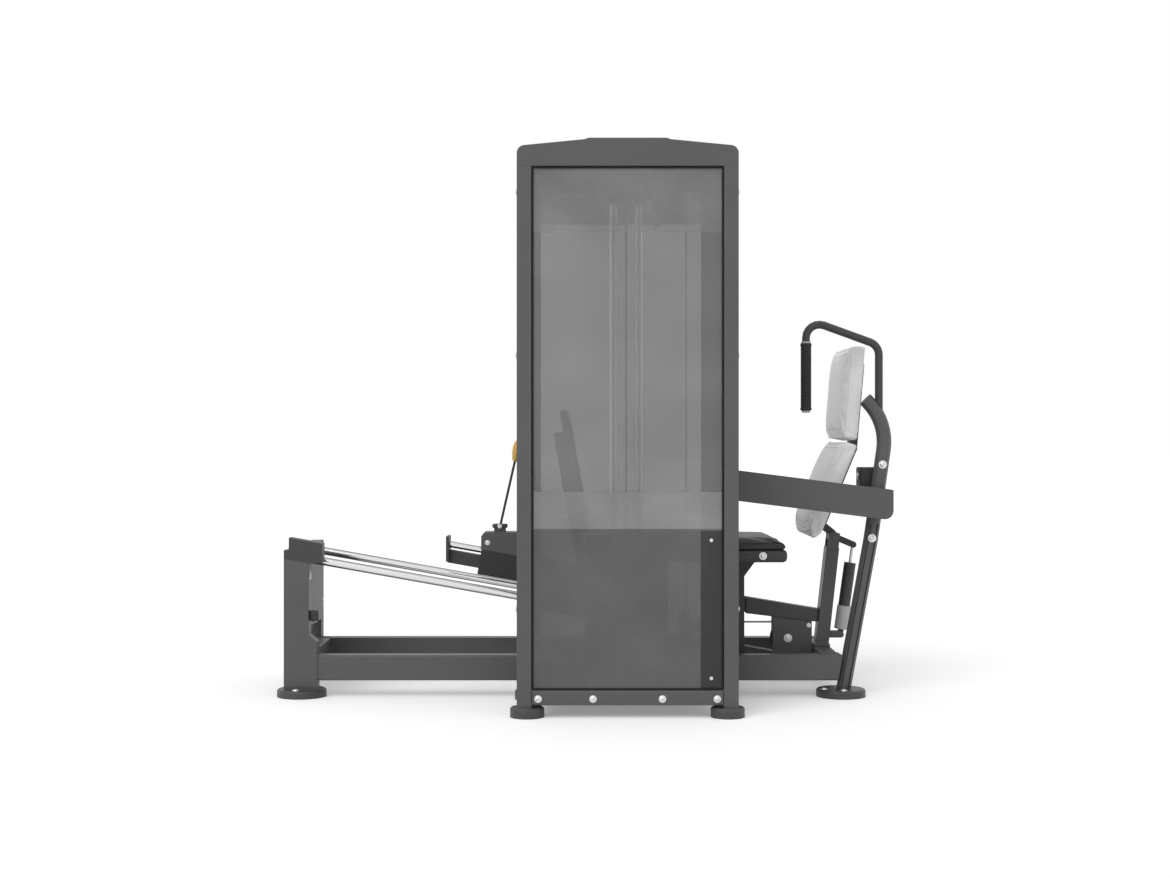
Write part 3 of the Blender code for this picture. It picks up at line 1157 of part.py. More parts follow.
def foot_carriage():
    """Sliding bar with its end plate and post, the adjuster rod and the foot plate."""
    frame = slope_box("foot_carriage", (BAR_LOW, BAR_HIGH), (BAR_UNDER, BAR_TOP), BAR_HALF_WIDTH, DARK_GREY,
                      bevel=0)
    bar_z = rod_line(END_PLATE_LEFT) + (BAR_UNDER + BAR_TOP) / 2 / math.cos(TILT)
    end = box("bar_end_plate", (END_PLATE_LEFT, MID_Y - END_PLATE_HALF_WIDTH, bar_z - END_PLATE_UNDER),
              (END_PLATE_LEFT + END_PLATE_THICKNESS, MID_Y + END_PLATE_HALF_WIDTH, bar_z + END_PLATE_OVER),
              DARK_GREY, bevel=0)
    low = Vector((FOOT_PLATE_LOW[0], MID_Y, FOOT_PLATE_LOW[1]))
    high = Vector((FOOT_PLATE_HIGH[0], MID_Y, FOOT_PLATE_HIGH[1]))
    along = (high - low).normalized()
    behind_plate = along.cross(Vector((0, 1, 0))).normalized()
    offset = behind_plate * (FOOT_PLATE_THICKNESS / 2 + POST_DEPTH / 2 + GAP)
    post = bar("foot_post", low + offset - along * POST_BELOW_PLATE, low + offset + along * POST_BEHIND_PLATE,
               2 * BAR_HALF_WIDTH, POST_DEPTH, DARK_GREY, bevel=0)
    joined(frame, end, post)
    start_x, start_z = on_slope(BAR_HIGH - 0.012, ADJUSTER_ABOVE)
    socket_x, socket_z = on_slope(ADJUSTER_LOW, ADJUSTER_ABOVE)
    cut(frame, cutter_rod("adjuster_socket", (start_x + 0.015, MID_Y, start_z - 0.015 * math.tan(TILT)),
                          (socket_x, MID_Y, socket_z), ADJUSTER_RADIUS + GAP))
    rod_start = on_slope(ADJUSTER_HIGH, ADJUSTER_ABOVE)
    rod_end = on_slope(ADJUSTER_LOW + GAP, ADJUSTER_ABOVE)
    rod("adjuster_rod", (rod_start[0], MID_Y, rod_start[1]), (rod_end[0], MID_Y, rod_end[1]),
        ADJUSTER_RADIUS, CHROME, 20)
    bar("foot_plate", low, high, FOOT_PLATE_WIDTH, FOOT_PLATE_THICKNESS, DARK_GREY, 0.004)


def ride_together(point, base_name, *rider_names):
    """Put the origins of the pieces that move as one on their axis, and hang the riders on the base piece."""
    base = set_origin(bpy.data.objects[base_name], point)
    bpy.context.view_layer.update()
    for rider_name in rider_names:
        rider = set_origin(bpy.data.objects[rider_name], point)
        rider.parent = base
        rider.matrix_parent_inverse = base.matrix_world.inverted()


def moving_origins():
    """Origins of the moving pieces: pivots for what turns, a point on the line of travel for what slides."""
    rail_x, rail_z = on_slope(0, 0)
    bar_x, bar_z = on_slope(0, (BAR_UNDER + BAR_TOP) / 2)
    ride_together((rail_x, MID_Y, rail_z), "sled_carriage", "clamp_block")
    ride_together((bar_x, MID_Y, bar_z), "foot_carriage", "adjuster_rod", "foot_plate")
    ride_together((LEVER_PIVOT[0], MID_Y, LEVER_PIVOT[1]), "release_lever", "release_knob")
    ride_together((PILLAR_HEAD[0], MID_Y, PILLAR_HEAD[1]), "backrest_carrier", "lower_back_pad",
                  "upper_back_pad")
    ride_together((STACK_X, STACK_Y, STACK_BOTTOM), "selected_weights", "selector_stem")
    ride_together((STRUT_LOW[0], MID_Y, STRUT_LOW[1]), "strut_cylinder")
    ride_together((STRUT_HIGH[0], MID_Y, STRUT_HIGH[1]), "strut_rod")


floor_frame()
end_frame()
guide_rods()
seat()
lower_drive()
rear_frame()
backrest()
tower()
weight_stack()
cable_drive()
sled()
foot_carriage()
moving_origins()
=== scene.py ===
import bpy
import bmesh
import math
from mathutils import Vector, Matrix, noise
from mathutils.bvhtree import BVHTree


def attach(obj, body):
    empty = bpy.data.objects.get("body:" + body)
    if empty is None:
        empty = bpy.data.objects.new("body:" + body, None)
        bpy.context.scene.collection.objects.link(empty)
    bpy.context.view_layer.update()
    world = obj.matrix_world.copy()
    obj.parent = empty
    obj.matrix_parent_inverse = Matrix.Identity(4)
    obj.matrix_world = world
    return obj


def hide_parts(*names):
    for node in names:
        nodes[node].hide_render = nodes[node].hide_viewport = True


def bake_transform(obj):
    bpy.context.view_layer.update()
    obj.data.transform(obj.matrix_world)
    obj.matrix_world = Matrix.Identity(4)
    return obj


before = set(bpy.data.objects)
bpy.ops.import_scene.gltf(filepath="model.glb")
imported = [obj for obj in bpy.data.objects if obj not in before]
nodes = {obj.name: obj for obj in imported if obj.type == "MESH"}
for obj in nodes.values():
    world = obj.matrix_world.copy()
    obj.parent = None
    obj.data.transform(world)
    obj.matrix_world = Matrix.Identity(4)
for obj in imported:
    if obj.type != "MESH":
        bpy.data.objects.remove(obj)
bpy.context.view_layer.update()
print("loaded the frame:", len(nodes), "nodes")

# camera: level, square on to the side of the weight tower
cameraSettings = {"place": (0.0, -5.134, 0.769), "lens": 52.3}


def makeCamera(settings):
    data = bpy.data.cameras.new("sideCamera")
    data.lens = settings["lens"]
    data.sensor_width = 36
    data.clip_end = 200
    camera = bpy.data.objects.new("sideCamera", data)
    camera.location = settings["place"]
    camera.rotation_euler = (math.radians(90), 0, 0)
    bpy.context.collection.objects.link(camera)
    bpy.context.scene.camera = camera


makeCamera(cameraSettings)
print("camera ready")


# shader helpers
def addNode(tree, kind, inputs=None, **values):
    node = tree.nodes.new(kind)
    for key, value in values.items():
        setattr(node, key, value)
    for key, value in (inputs or {}).items():
        if isinstance(value, bpy.types.NodeSocket):
            tree.links.new(value, node.inputs[key])
        else:
            node.inputs[key].default_value = value
    return node


def addMath(tree, operation, first, second=0.5, clamp=False):
    node = addNode(tree, "ShaderNodeMath", {0: first, 1: second}, operation=operation, use_clamp=clamp)
    return node.outputs[0]


def addNoise(tree, where, scale, detail, **more):
    inputs = {"Vector": where, "Scale": scale, "Detail": detail, **more}
    return addNode(tree, "ShaderNodeTexNoise", inputs).outputs[0]


def addScaled(tree, colour, level):
    return addNode(tree, "ShaderNodeVectorMath", {0: colour, "Scale": level}, operation="SCALE").outputs[0]


def addLinks(tree, target, colour, rough, normal, colourName="Colour"):
    for name, value in ((colourName, colour), ("Roughness", rough), ("Normal", normal)):
        tree.links.new(value, target.inputs[name])


def addMix(tree, factor, first, second):
    node = addNode(tree, "ShaderNodeMix", data_type="RGBA", blend_type="MIX")
    for socket, value in ((node.inputs[0], factor), (node.inputs[6], first), (node.inputs[7], second)):
        if isinstance(value, bpy.types.NodeSocket):
            tree.links.new(value, socket)
        else:
            socket.default_value = value if socket is node.inputs[0] else tuple(value) + (1,)
    return node.outputs[2]


def newGroup(name, inputs, outputs):
    tree = bpy.data.node_groups.new(name, "ShaderNodeTree")
    kinds = {"colour": "NodeSocketColor", "value": "NodeSocketFloat", "vector": "NodeSocketVector"}
    for label, kind, default in inputs:
        socket = tree.interface.new_socket(name=label, in_out="INPUT", socket_type=kinds[kind])
        if default is not None:
            socket.default_value = default
    for label, kind in outputs:
        tree.interface.new_socket(name=label, in_out="OUTPUT", socket_type=kinds[kind])
    return tree, tree.nodes.new("NodeGroupInput"), tree.nodes.new("NodeGroupOutput")


def useGroup(tree, group, values):
    node = tree.nodes.new("ShaderNodeGroup")
    node.node_tree = group
    for key, value in values.items():
        if isinstance(value, bpy.types.NodeSocket):
            tree.links.new(value, node.inputs[key])
        else:
            node.inputs[key].default_value = value
    return node


def makePaintGrain():
    # fine powder-coat orange peel, soft patches of tone, and lighter rubbed edges
    tree, start, end = newGroup(
        "paintGrain",
        [("Colour", "colour", (0.1, 0.1, 0.1, 1)), ("Edge Colour", "colour", (0.2, 0.2, 0.2, 1)),
         ("Roughness", "value", 0.5), ("Grain Scale", "value", 900.0), ("Grain Depth", "value", 0.12),
         ("Patchiness", "value", 0.12), ("Edge Wear", "value", 0.5), ("Edge Radius", "value", 0.003)],
        [("Colour", "colour"), ("Roughness", "value"), ("Normal", "vector")])
    where = addNode(tree, "ShaderNodeTexCoord").outputs["Object"]
    fine = addNoise(tree, where, start.outputs["Grain Scale"], 2.0, Roughness=0.6)
    patches = addNoise(tree, where, 5.0, 4.0)
    specks = addNoise(tree, where, 260.0, 1.0)
    rounded = addNode(tree, "ShaderNodeBevel", {"Radius": start.outputs["Edge Radius"]}, samples=4).outputs[0]
    flat = addNode(tree, "ShaderNodeNewGeometry").outputs["Normal"]
    aligned = addNode(tree, "ShaderNodeVectorMath", {0: rounded, 1: flat}, operation="DOT_PRODUCT")
    turned = addMath(tree, "SUBTRACT", 1.0, aligned.outputs["Value"], True)
    rubbed = addMath(tree, "MULTIPLY", turned, addMath(tree, "MULTIPLY", patches, 9.0), True)
    wear = addMath(tree, "MULTIPLY", rubbed, start.outputs["Edge Wear"], True)
    tone = addMath(tree, "MULTIPLY", addMath(tree, "SUBTRACT", patches, 0.5), start.outputs["Patchiness"])
    speckle = addMath(tree, "MULTIPLY", addMath(tree, "SUBTRACT", specks, 0.5), 0.16)
    level = addMath(tree, "ADD", addMath(tree, "ADD", 1.0, addMath(tree, "MULTIPLY", tone, 2.0)), speckle)
    # darker close to the floor: painted shade where the feet and floor discs meet the floor
    height = addNode(tree, "ShaderNodeSeparateXYZ", {"Vector": where}).outputs["Z"]
    clear = addMath(tree, "MULTIPLY", addMath(tree, "SUBTRACT", height, 0.024), 110.0, True)
    floorShade = addMath(tree, "ADD", 0.66, addMath(tree, "MULTIPLY", clear, 0.34))
    level = addMath(tree, "MULTIPLY", level, floorShade)
    toned = addScaled(tree, start.outputs["Colour"], level)
    colour = addMix(tree, wear, toned, start.outputs["Edge Colour"])
    rough = addMath(tree, "ADD", start.outputs["Roughness"],
                    addMath(tree, "MULTIPLY", addMath(tree, "SUBTRACT", fine, 0.5), 0.25))
    bump = addNode(tree, "ShaderNodeBump", {"Height": fine, "Strength": start.outputs["Grain Depth"],
                                            "Distance": 0.0006, "Normal": rounded}).outputs[0]
    addLinks(tree, end, colour, rough, bump)
    return tree


def makeBrushedLines():
    # fine lines round or along a ground or drawn metal surface, with a few darker stains
    tree, start, end = newGroup(
        "brushedLines",
        [("Colour", "colour", (0.6, 0.6, 0.6, 1)), ("Roughness", "value", 0.2),
         ("Stretch", "vector", (4.0, 900.0, 900.0)), ("Line Depth", "value", 0.05), ("Stain", "value", 0.2)],
        [("Colour", "colour"), ("Roughness", "value"), ("Normal", "vector")])
    where = addNode(tree, "ShaderNodeTexCoord").outputs["Object"]
    stretched = addNode(tree, "ShaderNodeVectorMath", {0: where, 1: start.outputs["Stretch"]},
                        operation="MULTIPLY").outputs[0]
    lines = addNoise(tree, stretched, 1.0, 3.0)
    stains = addNoise(tree, where, 14.0, 5.0)
    dull = addMath(tree, "MULTIPLY", addMath(tree, "SUBTRACT", stains, 0.5, True), start.outputs["Stain"])
    colour = addScaled(tree, start.outputs["Colour"], addMath(tree, "SUBTRACT", 1.0, dull))
    rough = addMath(tree, "ADD", start.outputs["Roughness"],
                    addMath(tree, "ADD", addMath(tree, "MULTIPLY", lines, 0.10), dull))
    bump = addNode(tree, "ShaderNodeBump", {"Height": lines, "Strength": start.outputs["Line Depth"],
                                            "Distance": 0.0003}).outputs[0]
    addLinks(tree, end, colour, rough, bump)
    return tree


def makeVinylGrain():
    # pebbled leather-cloth grain with finer wrinkles and soft handling marks
    tree, start, end = newGroup(
        "vinylGrain",
        [("Colour", "colour", (0.5, 0.5, 0.5, 1)), ("Roughness", "value", 0.5),
         ("Grain Scale", "value", 420.0), ("Grain Depth", "value", 0.25), ("Crease Depth", "value", 0.15),
         ("Marks", "value", 0.1)],
        [("Colour", "colour"), ("Roughness", "value"), ("Normal", "vector")])
    where = addNode(tree, "ShaderNodeTexCoord").outputs["Object"]
    bent = addNode(tree, "ShaderNodeTexNoise", {"Vector": where, "Scale": 90.0, "Detail": 2.0}).outputs[1]
    shifted = addNode(tree, "ShaderNodeVectorMath", {0: bent, 1: (0.006, 0.006, 0.006), 2: where},
                      operation="MULTIPLY_ADD").outputs[0]
    cells = {"Vector": shifted, "Scale": start.outputs["Grain Scale"]}
    pebbles = addNode(tree, "ShaderNodeTexVoronoi", cells, feature="SMOOTH_F1").outputs["Distance"]
    creases = addNoise(tree, where, 28.0, 5.0, Distortion=0.6)
    marks = addNoise(tree, where, 6.0, 4.0)
    shade = addMath(tree, "MULTIPLY", addMath(tree, "SUBTRACT", marks, 0.5), start.outputs["Marks"])
    valley = addMath(tree, "MULTIPLY", pebbles, 0.12)
    level = addMath(tree, "SUBTRACT", addMath(tree, "ADD", 1.03, shade), valley)
    colour = addScaled(tree, start.outputs["Colour"], level)
    rough = addMath(tree, "ADD", start.outputs["Roughness"], addMath(tree, "MULTIPLY", shade, 1.5))
    coarse = addNode(tree, "ShaderNodeBump", {"Height": creases, "Strength": start.outputs["Crease Depth"],
                                              "Distance": 0.004}).outputs[0]
    bump = addNode(tree, "ShaderNodeBump", {"Height": pebbles, "Strength": start.outputs["Grain Depth"],
                                            "Distance": 0.0012, "Normal": coarse}, invert=True).outputs[0]
    addLinks(tree, end, colour, rough, bump)
    return tree


paintGrain = makePaintGrain()
brushedLines = makeBrushedLines()
vinylGrain = makeVinylGrain()


def newMaterial(name, group, values, shader=None, rim=0.0):
    material = bpy.data.materials.new(name)
    material.use_nodes = True
    tree = material.node_tree
    skin = tree.nodes["Principled BSDF"]
    for key, value in (shader or {}).items():
        skin.inputs[key].default_value = value
    effect = useGroup(tree, group, values)
    colour = effect.outputs["Colour"]
    if rim:
        # painted reflection: darkens round metal towards its outline in place of dark surroundings it would
        # mirror, since the white studio has nothing dark for it to mirror
        edge = addNode(tree, "ShaderNodeLayerWeight", {"Blend": 0.5}).outputs["Facing"]
        dark = addMath(tree, "MULTIPLY", addMath(tree, "POWER", edge, 1.3), rim)
        colour = addScaled(tree, colour, addMath(tree, "SUBTRACT", 1.0, dark, True))
    addLinks(tree, skin, colour, effect.outputs["Roughness"], effect.outputs["Normal"], "Base Color")
    return material


def rgb(red, green, blue):
    return (red, green, blue, 1)


framePaint = newMaterial("framePaint", paintGrain, {
    "Colour": rgb(0.087, 0.089, 0.091), "Edge Colour": rgb(0.17, 0.17, 0.175), "Roughness": 0.46,
    "Grain Scale": 1100.0, "Grain Depth": 0.22, "Edge Wear": 0.5},
    {"Metallic": 0.15, "Specular IOR Level": 0.45})
darkPaint = newMaterial("darkPaint", paintGrain, {
    "Colour": rgb(0.042, 0.043, 0.045), "Edge Colour": rgb(0.10, 0.10, 0.10), "Roughness": 0.50,
    "Grain Scale": 1000.0, "Grain Depth": 0.2, "Edge Wear": 0.45}, {"Metallic": 0.15})
# a darker copy of the frame paint: painted shade for the rod housing, far end leg and lower spine, which
# stand in the frame's shadow
paintedShadeFramePaint = newMaterial("paintedShadeFramePaint", paintGrain, {
    "Colour": rgb(0.056, 0.057, 0.059), "Edge Colour": rgb(0.12, 0.12, 0.12), "Roughness": 0.48,
    "Grain Scale": 1050.0, "Grain Depth": 0.2, "Edge Wear": 0.45}, {"Metallic": 0.15})
plateIron = newMaterial("plateIron", paintGrain, {
    "Colour": rgb(0.026, 0.026, 0.027), "Edge Colour": rgb(0.075, 0.074, 0.072), "Roughness": 0.62,
    "Grain Scale": 420.0, "Grain Depth": 0.5, "Patchiness": 0.2, "Edge Wear": 0.6}, {"Metallic": 0.3})
blackPlastic = newMaterial("blackPlastic", paintGrain, {
    "Colour": rgb(0.017, 0.017, 0.018), "Edge Colour": rgb(0.045, 0.045, 0.046), "Roughness": 0.48,
    "Grain Scale": 700.0, "Grain Depth": 0.35, "Edge Wear": 0.2, "Edge Radius": 0.002})
blackRubber = newMaterial("blackRubber", paintGrain, {
    "Colour": rgb(0.014, 0.014, 0.014), "Edge Colour": rgb(0.04, 0.04, 0.04), "Roughness": 0.82,
    "Grain Scale": 520.0, "Grain Depth": 0.6, "Patchiness": 0.25, "Edge Wear": 0.25},
    {"Specular IOR Level": 0.3})
gripRubber = newMaterial("gripRubber", paintGrain, {
    "Colour": rgb(0.030, 0.030, 0.031), "Edge Colour": rgb(0.06, 0.06, 0.06), "Roughness": 0.74,
    "Grain Scale": 620.0, "Grain Depth": 0.6, "Patchiness": 0.2, "Edge Wear": 0.3},
    {"Specular IOR Level": 0.35})
amberPlastic = newMaterial("amberPlastic", paintGrain, {
    "Colour": rgb(0.62, 0.36, 0.055), "Edge Colour": rgb(0.75, 0.52, 0.16), "Roughness": 0.30,
    "Grain Scale": 300.0, "Grain Depth": 0.08, "Patchiness": 0.10, "Edge Wear": 0.3},
    {"Coat Weight": 0.4, "Coat Roughness": 0.15, "Subsurface Weight": 0.05})
chrome = newMaterial("chrome", brushedLines, {
    "Colour": rgb(0.74, 0.745, 0.75), "Roughness": 0.09, "Stretch": (6.0, 1400.0, 1400.0),
    "Line Depth": 0.03, "Stain": 0.12}, {"Metallic": 1.0}, rim=1.7)
stackChrome = newMaterial("stackChrome", brushedLines, {
    "Colour": rgb(0.88, 0.885, 0.89), "Roughness": 0.16, "Stretch": (1400.0, 1400.0, 6.0),
    "Line Depth": 0.03, "Stain": 0.12}, {"Metallic": 0.55}, rim=0.1)
brightSteel = newMaterial("brightSteel", brushedLines, {
    "Colour": rgb(0.55, 0.555, 0.56), "Roughness": 0.26, "Stretch": (700.0, 700.0, 700.0),
    "Line Depth": 0.12, "Stain": 0.35}, {"Metallic": 1.0})
lightVinyl = newMaterial("lightVinyl", vinylGrain, {
    "Colour": rgb(0.87, 0.87, 0.86), "Roughness": 0.52, "Marks": 0.07},
    {"Specular IOR Level": 0.4, "Sheen Weight": 0.05})
darkVinyl = newMaterial("darkVinyl", vinylGrain, {
    "Colour": rgb(0.030, 0.030, 0.032), "Roughness": 0.50, "Marks": 0.25},
    {"Specular IOR Level": 0.45, "Sheen Weight": 0.05})
print("paints, metals and vinyls ready")

# smoked shroud: tinted plastic sheet with a fine woven film on it, dust and faint scuffs
shroudSettings = {"tint": rgb(1.0, 1.01, 1.035), "threadPitch": 0.0042, "roughness": 0.34}
# height where each zone of a sheet ends, its own grey and how much it hides
frontZones = ((0.520, 0.105, 0.89), (0.622, 0.245, 0.87), (1.338, 0.235, 0.50), (1.600, 0.240, 0.60))
rearZones = ((1.404, 0.235, 0.50), (1.600, 0.160, 0.76))


def makeSmokedSheet(name, settings, zones):
    material = bpy.data.materials.new(name)
    material.use_nodes = True
    tree = material.node_tree
    skin = tree.nodes["Principled BSDF"]
    where = addNode(tree, "ShaderNodeTexCoord").outputs["Object"]
    parts = addNode(tree, "ShaderNodeSeparateXYZ", {"Vector": where})
    turns = 2 * math.pi / settings["threadPitch"]
    across = addMath(tree, "SINE", addMath(tree, "MULTIPLY", parts.outputs["X"], turns))
    upward = addMath(tree, "SINE", addMath(tree, "MULTIPLY", parts.outputs["Z"], turns))
    weave = addMath(tree, "MULTIPLY", across, upward)
    clouds = addNoise(tree, where, 4.5, 5.0)
    dust = addNoise(tree, where, 160.0, 3.0)
    grey, cover = zones[0][1:]
    for (border, lowGrey, lowCover), (_, highGrey, highCover) in zip(zones, zones[1:]):
        above = addMath(tree, "MULTIPLY", addMath(tree, "SUBTRACT", parts.outputs["Z"], border), 400.0, True)
        grey = addMath(tree, "ADD", grey, addMath(tree, "MULTIPLY", above, highGrey - lowGrey))
        cover = addMath(tree, "ADD", cover, addMath(tree, "MULTIPLY", above, highCover - lowCover))
    tone = addMath(tree, "ADD", 0.62, addMath(tree, "MULTIPLY", clouds, 0.76))
    tone = addMath(tree, "ADD", tone, addMath(tree, "MULTIPLY", weave, 0.07))
    tone = addMath(tree, "ADD", tone, addMath(tree, "MULTIPLY", addMath(tree, "SUBTRACT", dust, 0.5), 0.35))
    tone = addMath(tree, "MULTIPLY", tone, grey)
    colour = addScaled(tree, settings["tint"][:3], tone)
    rough = addMath(tree, "ADD", settings["roughness"], addMath(tree, "MULTIPLY", dust, 0.12))
    bump = addNode(tree, "ShaderNodeBump", {"Height": weave, "Strength": 0.12, "Distance": 0.0004}).outputs[0]
    addLinks(tree, skin, colour, rough, bump, "Base Color")
    tree.links.new(cover, skin.inputs["Alpha"])
    return material


smokedSheet = makeSmokedSheet("smokedSheet", shroudSettings, frontZones)
smokedRear = makeSmokedSheet("smokedRear", shroudSettings, rearZones)

# the CAD pieces that keep their shape, by finish
carried = {
    framePaint: """near_beam far_beam left_cross_member seat_cross_member rear_cross_member end_post
        guide_rod_lower_bracket backrest_pillar rear_upright wrap_round_arm low_pulley_block clamp_block
        tower_front_left_post tower_front_right_post tower_rear_left_post tower_rear_right_post
        tower_base tower_cap""",
    paintedShadeFramePaint: "rod_housing far_end_leg lower_spine",
    darkPaint: """end_post_cap seat_post over_shoulder_handle backrest_carrier strut_cylinder pulley_beam
        bend_pulley_bracket rise_pulley_bracket release_lever foot_carriage foot_plate""",
    plateIron: "resting_weights selected_weights",
    chrome: "near_guide_rod far_guide_rod adjuster_rod",
    stackChrome: "stack_left_guide_rod stack_right_guide_rod selector_stem",
    brightSteel: "strut_rod cable_route cable_sled_run cable_stack_run",
    blackPlastic: "sled_carriage recline_lock_box low_pulley bend_pulley rise_pulley top_pulley crown_pulley",
    gripRubber: "handle_grip",
    blackRubber: "stack_buffer",
    smokedSheet: "front_shroud",
    smokedRear: "rear_shroud",
    lightVinyl: "lower_back_pad upper_back_pad",
    darkVinyl: "seat_pad",
    amberPlastic: "release_knob selector_pin",
}


def paint(data, material):
    data.materials.clear()
    data.materials.append(material)


for material, names in carried.items():
    for name in names.split():
        paint(nodes[name].data, material)
print("carried pieces finished")


# geometry helpers: each adds to a mesh that is being built
def startPiece():
    return bmesh.new()


def meshObject(mesh, name):
    data = bpy.data.meshes.new(name)
    mesh.to_mesh(data)
    mesh.free()
    piece = bpy.data.objects.new(name, data)
    bpy.context.collection.objects.link(piece)
    return piece


def endPiece(mesh, name, material, body, sharp=38):
    bmesh.ops.recalc_face_normals(mesh, faces=mesh.faces)
    piece = meshObject(mesh, name)
    piece.data.shade_smooth()
    piece.data.set_sharp_from_angle(angle=math.radians(sharp))
    piece.data.materials.append(material)
    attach(piece, body)


def facing(place, direction, spin=0.0):
    turn = Vector((0, 0, 1)).rotation_difference(Vector(direction)).to_matrix().to_4x4()
    return Matrix.Translation(Vector(place)) @ turn @ Matrix.Rotation(spin, 4, "Z")


def ringPoints(place, radius, height, steps):
    turns = [2 * math.pi * step / steps for step in range(steps)]
    return [place @ Vector((radius * math.cos(turn), radius * math.sin(turn), height)) for turn in turns]


def addTurned(mesh, profile, place, steps=24):
    rings = []
    for radius, height in profile:
        if radius < 0.00001:
            rings.append([mesh.verts.new(place @ Vector((0, 0, height)))])
            continue
        rings.append([mesh.verts.new(point) for point in ringPoints(place, radius, height, steps)])
    for lower, upper in zip(rings, rings[1:]):
        for step in range(steps):
            after = (step + 1) % steps
            corners = [lower[step % len(lower)], lower[after % len(lower)],
                       upper[after % len(upper)], upper[step % len(upper)]]
            unique = [corner for index, corner in enumerate(corners) if corner not in corners[:index]]
            if len(unique) > 2:
                mesh.faces.new(unique)


def addBlock(mesh, low, high, bevel=0.002, place=Matrix.Identity(4), segments=3):
    low, high = Vector(low), Vector(high)
    shape = Matrix.Translation((low + high) / 2) @ Matrix.Diagonal(high - low).to_4x4()
    block = bmesh.ops.create_cube(mesh, size=1, matrix=place @ shape)
    edges = {edge for vert in block["verts"] for edge in vert.link_edges}
    bmesh.ops.bevel(mesh, geom=list(edges), offset=bevel, segments=segments, profile=0.5, affect="EDGES",
                    clamp_overlap=True)


def addRun(mesh, points, radius, sides=16, closed=False, ripple=0.0, rippleLength=0.004, flatten=1.0):
    # a round bead, hose or piping along a run of points; ripple makes weld scales or sewn gathers
    points = [Vector(point) for point in points]
    count = len(points)
    rings = []
    travelled = 0.0
    last = None
    for index, point in enumerate(points):
        before = points[index - 1] if index or closed else point
        after = points[(index + 1) % count] if index < count - 1 or closed else point
        along = (after - before).normalized()
        if last is None:
            side = along.orthogonal().normalized()
        else:
            side = (last - along * last.dot(along)).normalized()
            travelled += (point - points[index - 1]).length
        last = side
        other = along.cross(side)
        size = radius * (1 + ripple * math.sin(2 * math.pi * travelled / rippleLength))
        rings.append([mesh.verts.new(point + side * (size * math.cos(2 * math.pi * step / sides))
                                     + other * (size * flatten * math.sin(2 * math.pi * step / sides)))
                      for step in range(sides)])
    pairs = list(zip(rings, rings[1:]))
    if closed:
        first = rings[0]
        shift = min(range(sides), key=lambda turn: (rings[-1][turn].co - first[0].co).length)
        pairs.append((rings[-1][shift:] + rings[-1][:shift], first))
    for lower, upper in pairs:
        for step in range(sides):
            mesh.faces.new((lower[step], lower[(step + 1) % sides], upper[(step + 1) % sides], upper[step]))
    if not closed:
        for ring in (rings[0], rings[-1]):
            centre = mesh.verts.new(sum((vert.co for vert in ring), Vector()) / sides)
            for step in range(sides):
                mesh.faces.new((ring[step], ring[(step + 1) % sides], centre))


def spread(first, last, count):
    return [first + (last - first) * index / (count - 1) for index in range(count)]


# button-head screws with a hexagon socket, on a washer
def addScrew(mesh, place, direction, radius=0.0075, spin=0.3):
    frameAt = facing(place, direction, spin)
    washer = [(radius * 0.62, 0.0006), (radius * 1.42, 0.0006), (radius * 1.46, 0.0012),
              (radius * 1.42, 0.0018), (radius * 0.9, 0.0018)]
    addTurned(mesh, washer, frameAt, 28)
    head = [(radius, 0.0016), (radius, 0.0024), (radius * 0.94, radius * 0.36),
            (radius * 0.78, radius * 0.56), (radius * 0.55, radius * 0.66)]
    addTurned(mesh, head, frameAt, 24)
    rim = radius * 0.66
    sink = Vector(direction) * (radius * 0.45)
    inner = ringPoints(frameAt, radius * 0.42, rim, 6)
    outerVerts = [mesh.verts.new(point) for point in ringPoints(frameAt, radius * 0.55, rim, 24)]
    innerVerts = [mesh.verts.new(point) for point in inner]
    floorVerts = [mesh.verts.new(point - sink) for point in inner]
    for corner in range(6):
        after = (corner + 1) % 6
        arc = [outerVerts[(corner * 4 + step) % 24] for step in range(5)]
        mesh.faces.new([innerVerts[corner]] + arc + [innerVerts[after]])
        mesh.faces.new((innerVerts[corner], innerVerts[after], floorVerts[after], floorVerts[corner]))
    mesh.faces.new(floorVerts)


def addNut(mesh, place, direction, radius=0.009, height=0.007):
    frameAt = facing(place, direction, 0.2)
    wide = radius * 1.35
    thick = 0.0016
    addTurned(mesh, [(0.0, 0.0), (wide, 0.0), (wide, thick), (0.0, thick)], frameAt, 28)
    addTurned(mesh, [(radius * 0.98, thick), (radius, 0.0024), (radius, height - 0.0012),
                     (radius * 0.9, height), (radius * 0.55, height), (radius * 0.50, height + 0.004),
                     (0.0, height + 0.0046)], frameAt, 6)


def addScrewSets(sets, turnStep):
    for name, settings in sets.items():
        mesh = startPiece()
        for index, (place, way) in enumerate(settings["rows"]):
            addScrew(mesh, place, way, settings["radius"], turnStep * index)
        endPiece(mesh, name, zincSteel, settings["body"])


# upholstery: crowned pads that are puffed up over their boards, then piped and stitched
backPad = {"material": lightVinyl, "slot": "light_vinyl", "body": "backrest", "fill": 0.85, "shrink": 0.0015,
           "longer": 0.0100, "cap": 0.005, "seamLevel": 0.62, "piping": 0.0028, "stitchInset": 0.022,
           "threadColour": "light"}
padSettings = {
    "seatPad": {"node": "seat_pad", "material": darkVinyl, "slot": "dark_vinyl", "body": "frame",
                "fill": 0.85, "up": (0, 0, 1), "along": (1, 0, 0), "shrink": 0.0025, "longer": 0.001,
                "cap": 0.007,
                "seamLevel": 0.60, "piping": 0.0026, "stitchInset": 0.020, "threadColour": "dark"},
    "lowerBackPad": {**backPad, "node": "lower_back_pad", "up": (-0.9247, 0, 0.3808),
                     "along": (0.3808, 0, 0.9247)},
    "upperBackPad": {**backPad, "node": "upper_back_pad", "up": (-0.9961, 0, 0.0884),
                     "along": (0.0884, 0, 0.9961)},
}
# the cover's skin and the air pressure in it
puffSettings = {"voxel": 0.0055, "smoothRounds": 2, "pressure": 2.4, "stiffness": 25, "bending": 2.0,
                "boardHeight": 0.006, "frames": 20}


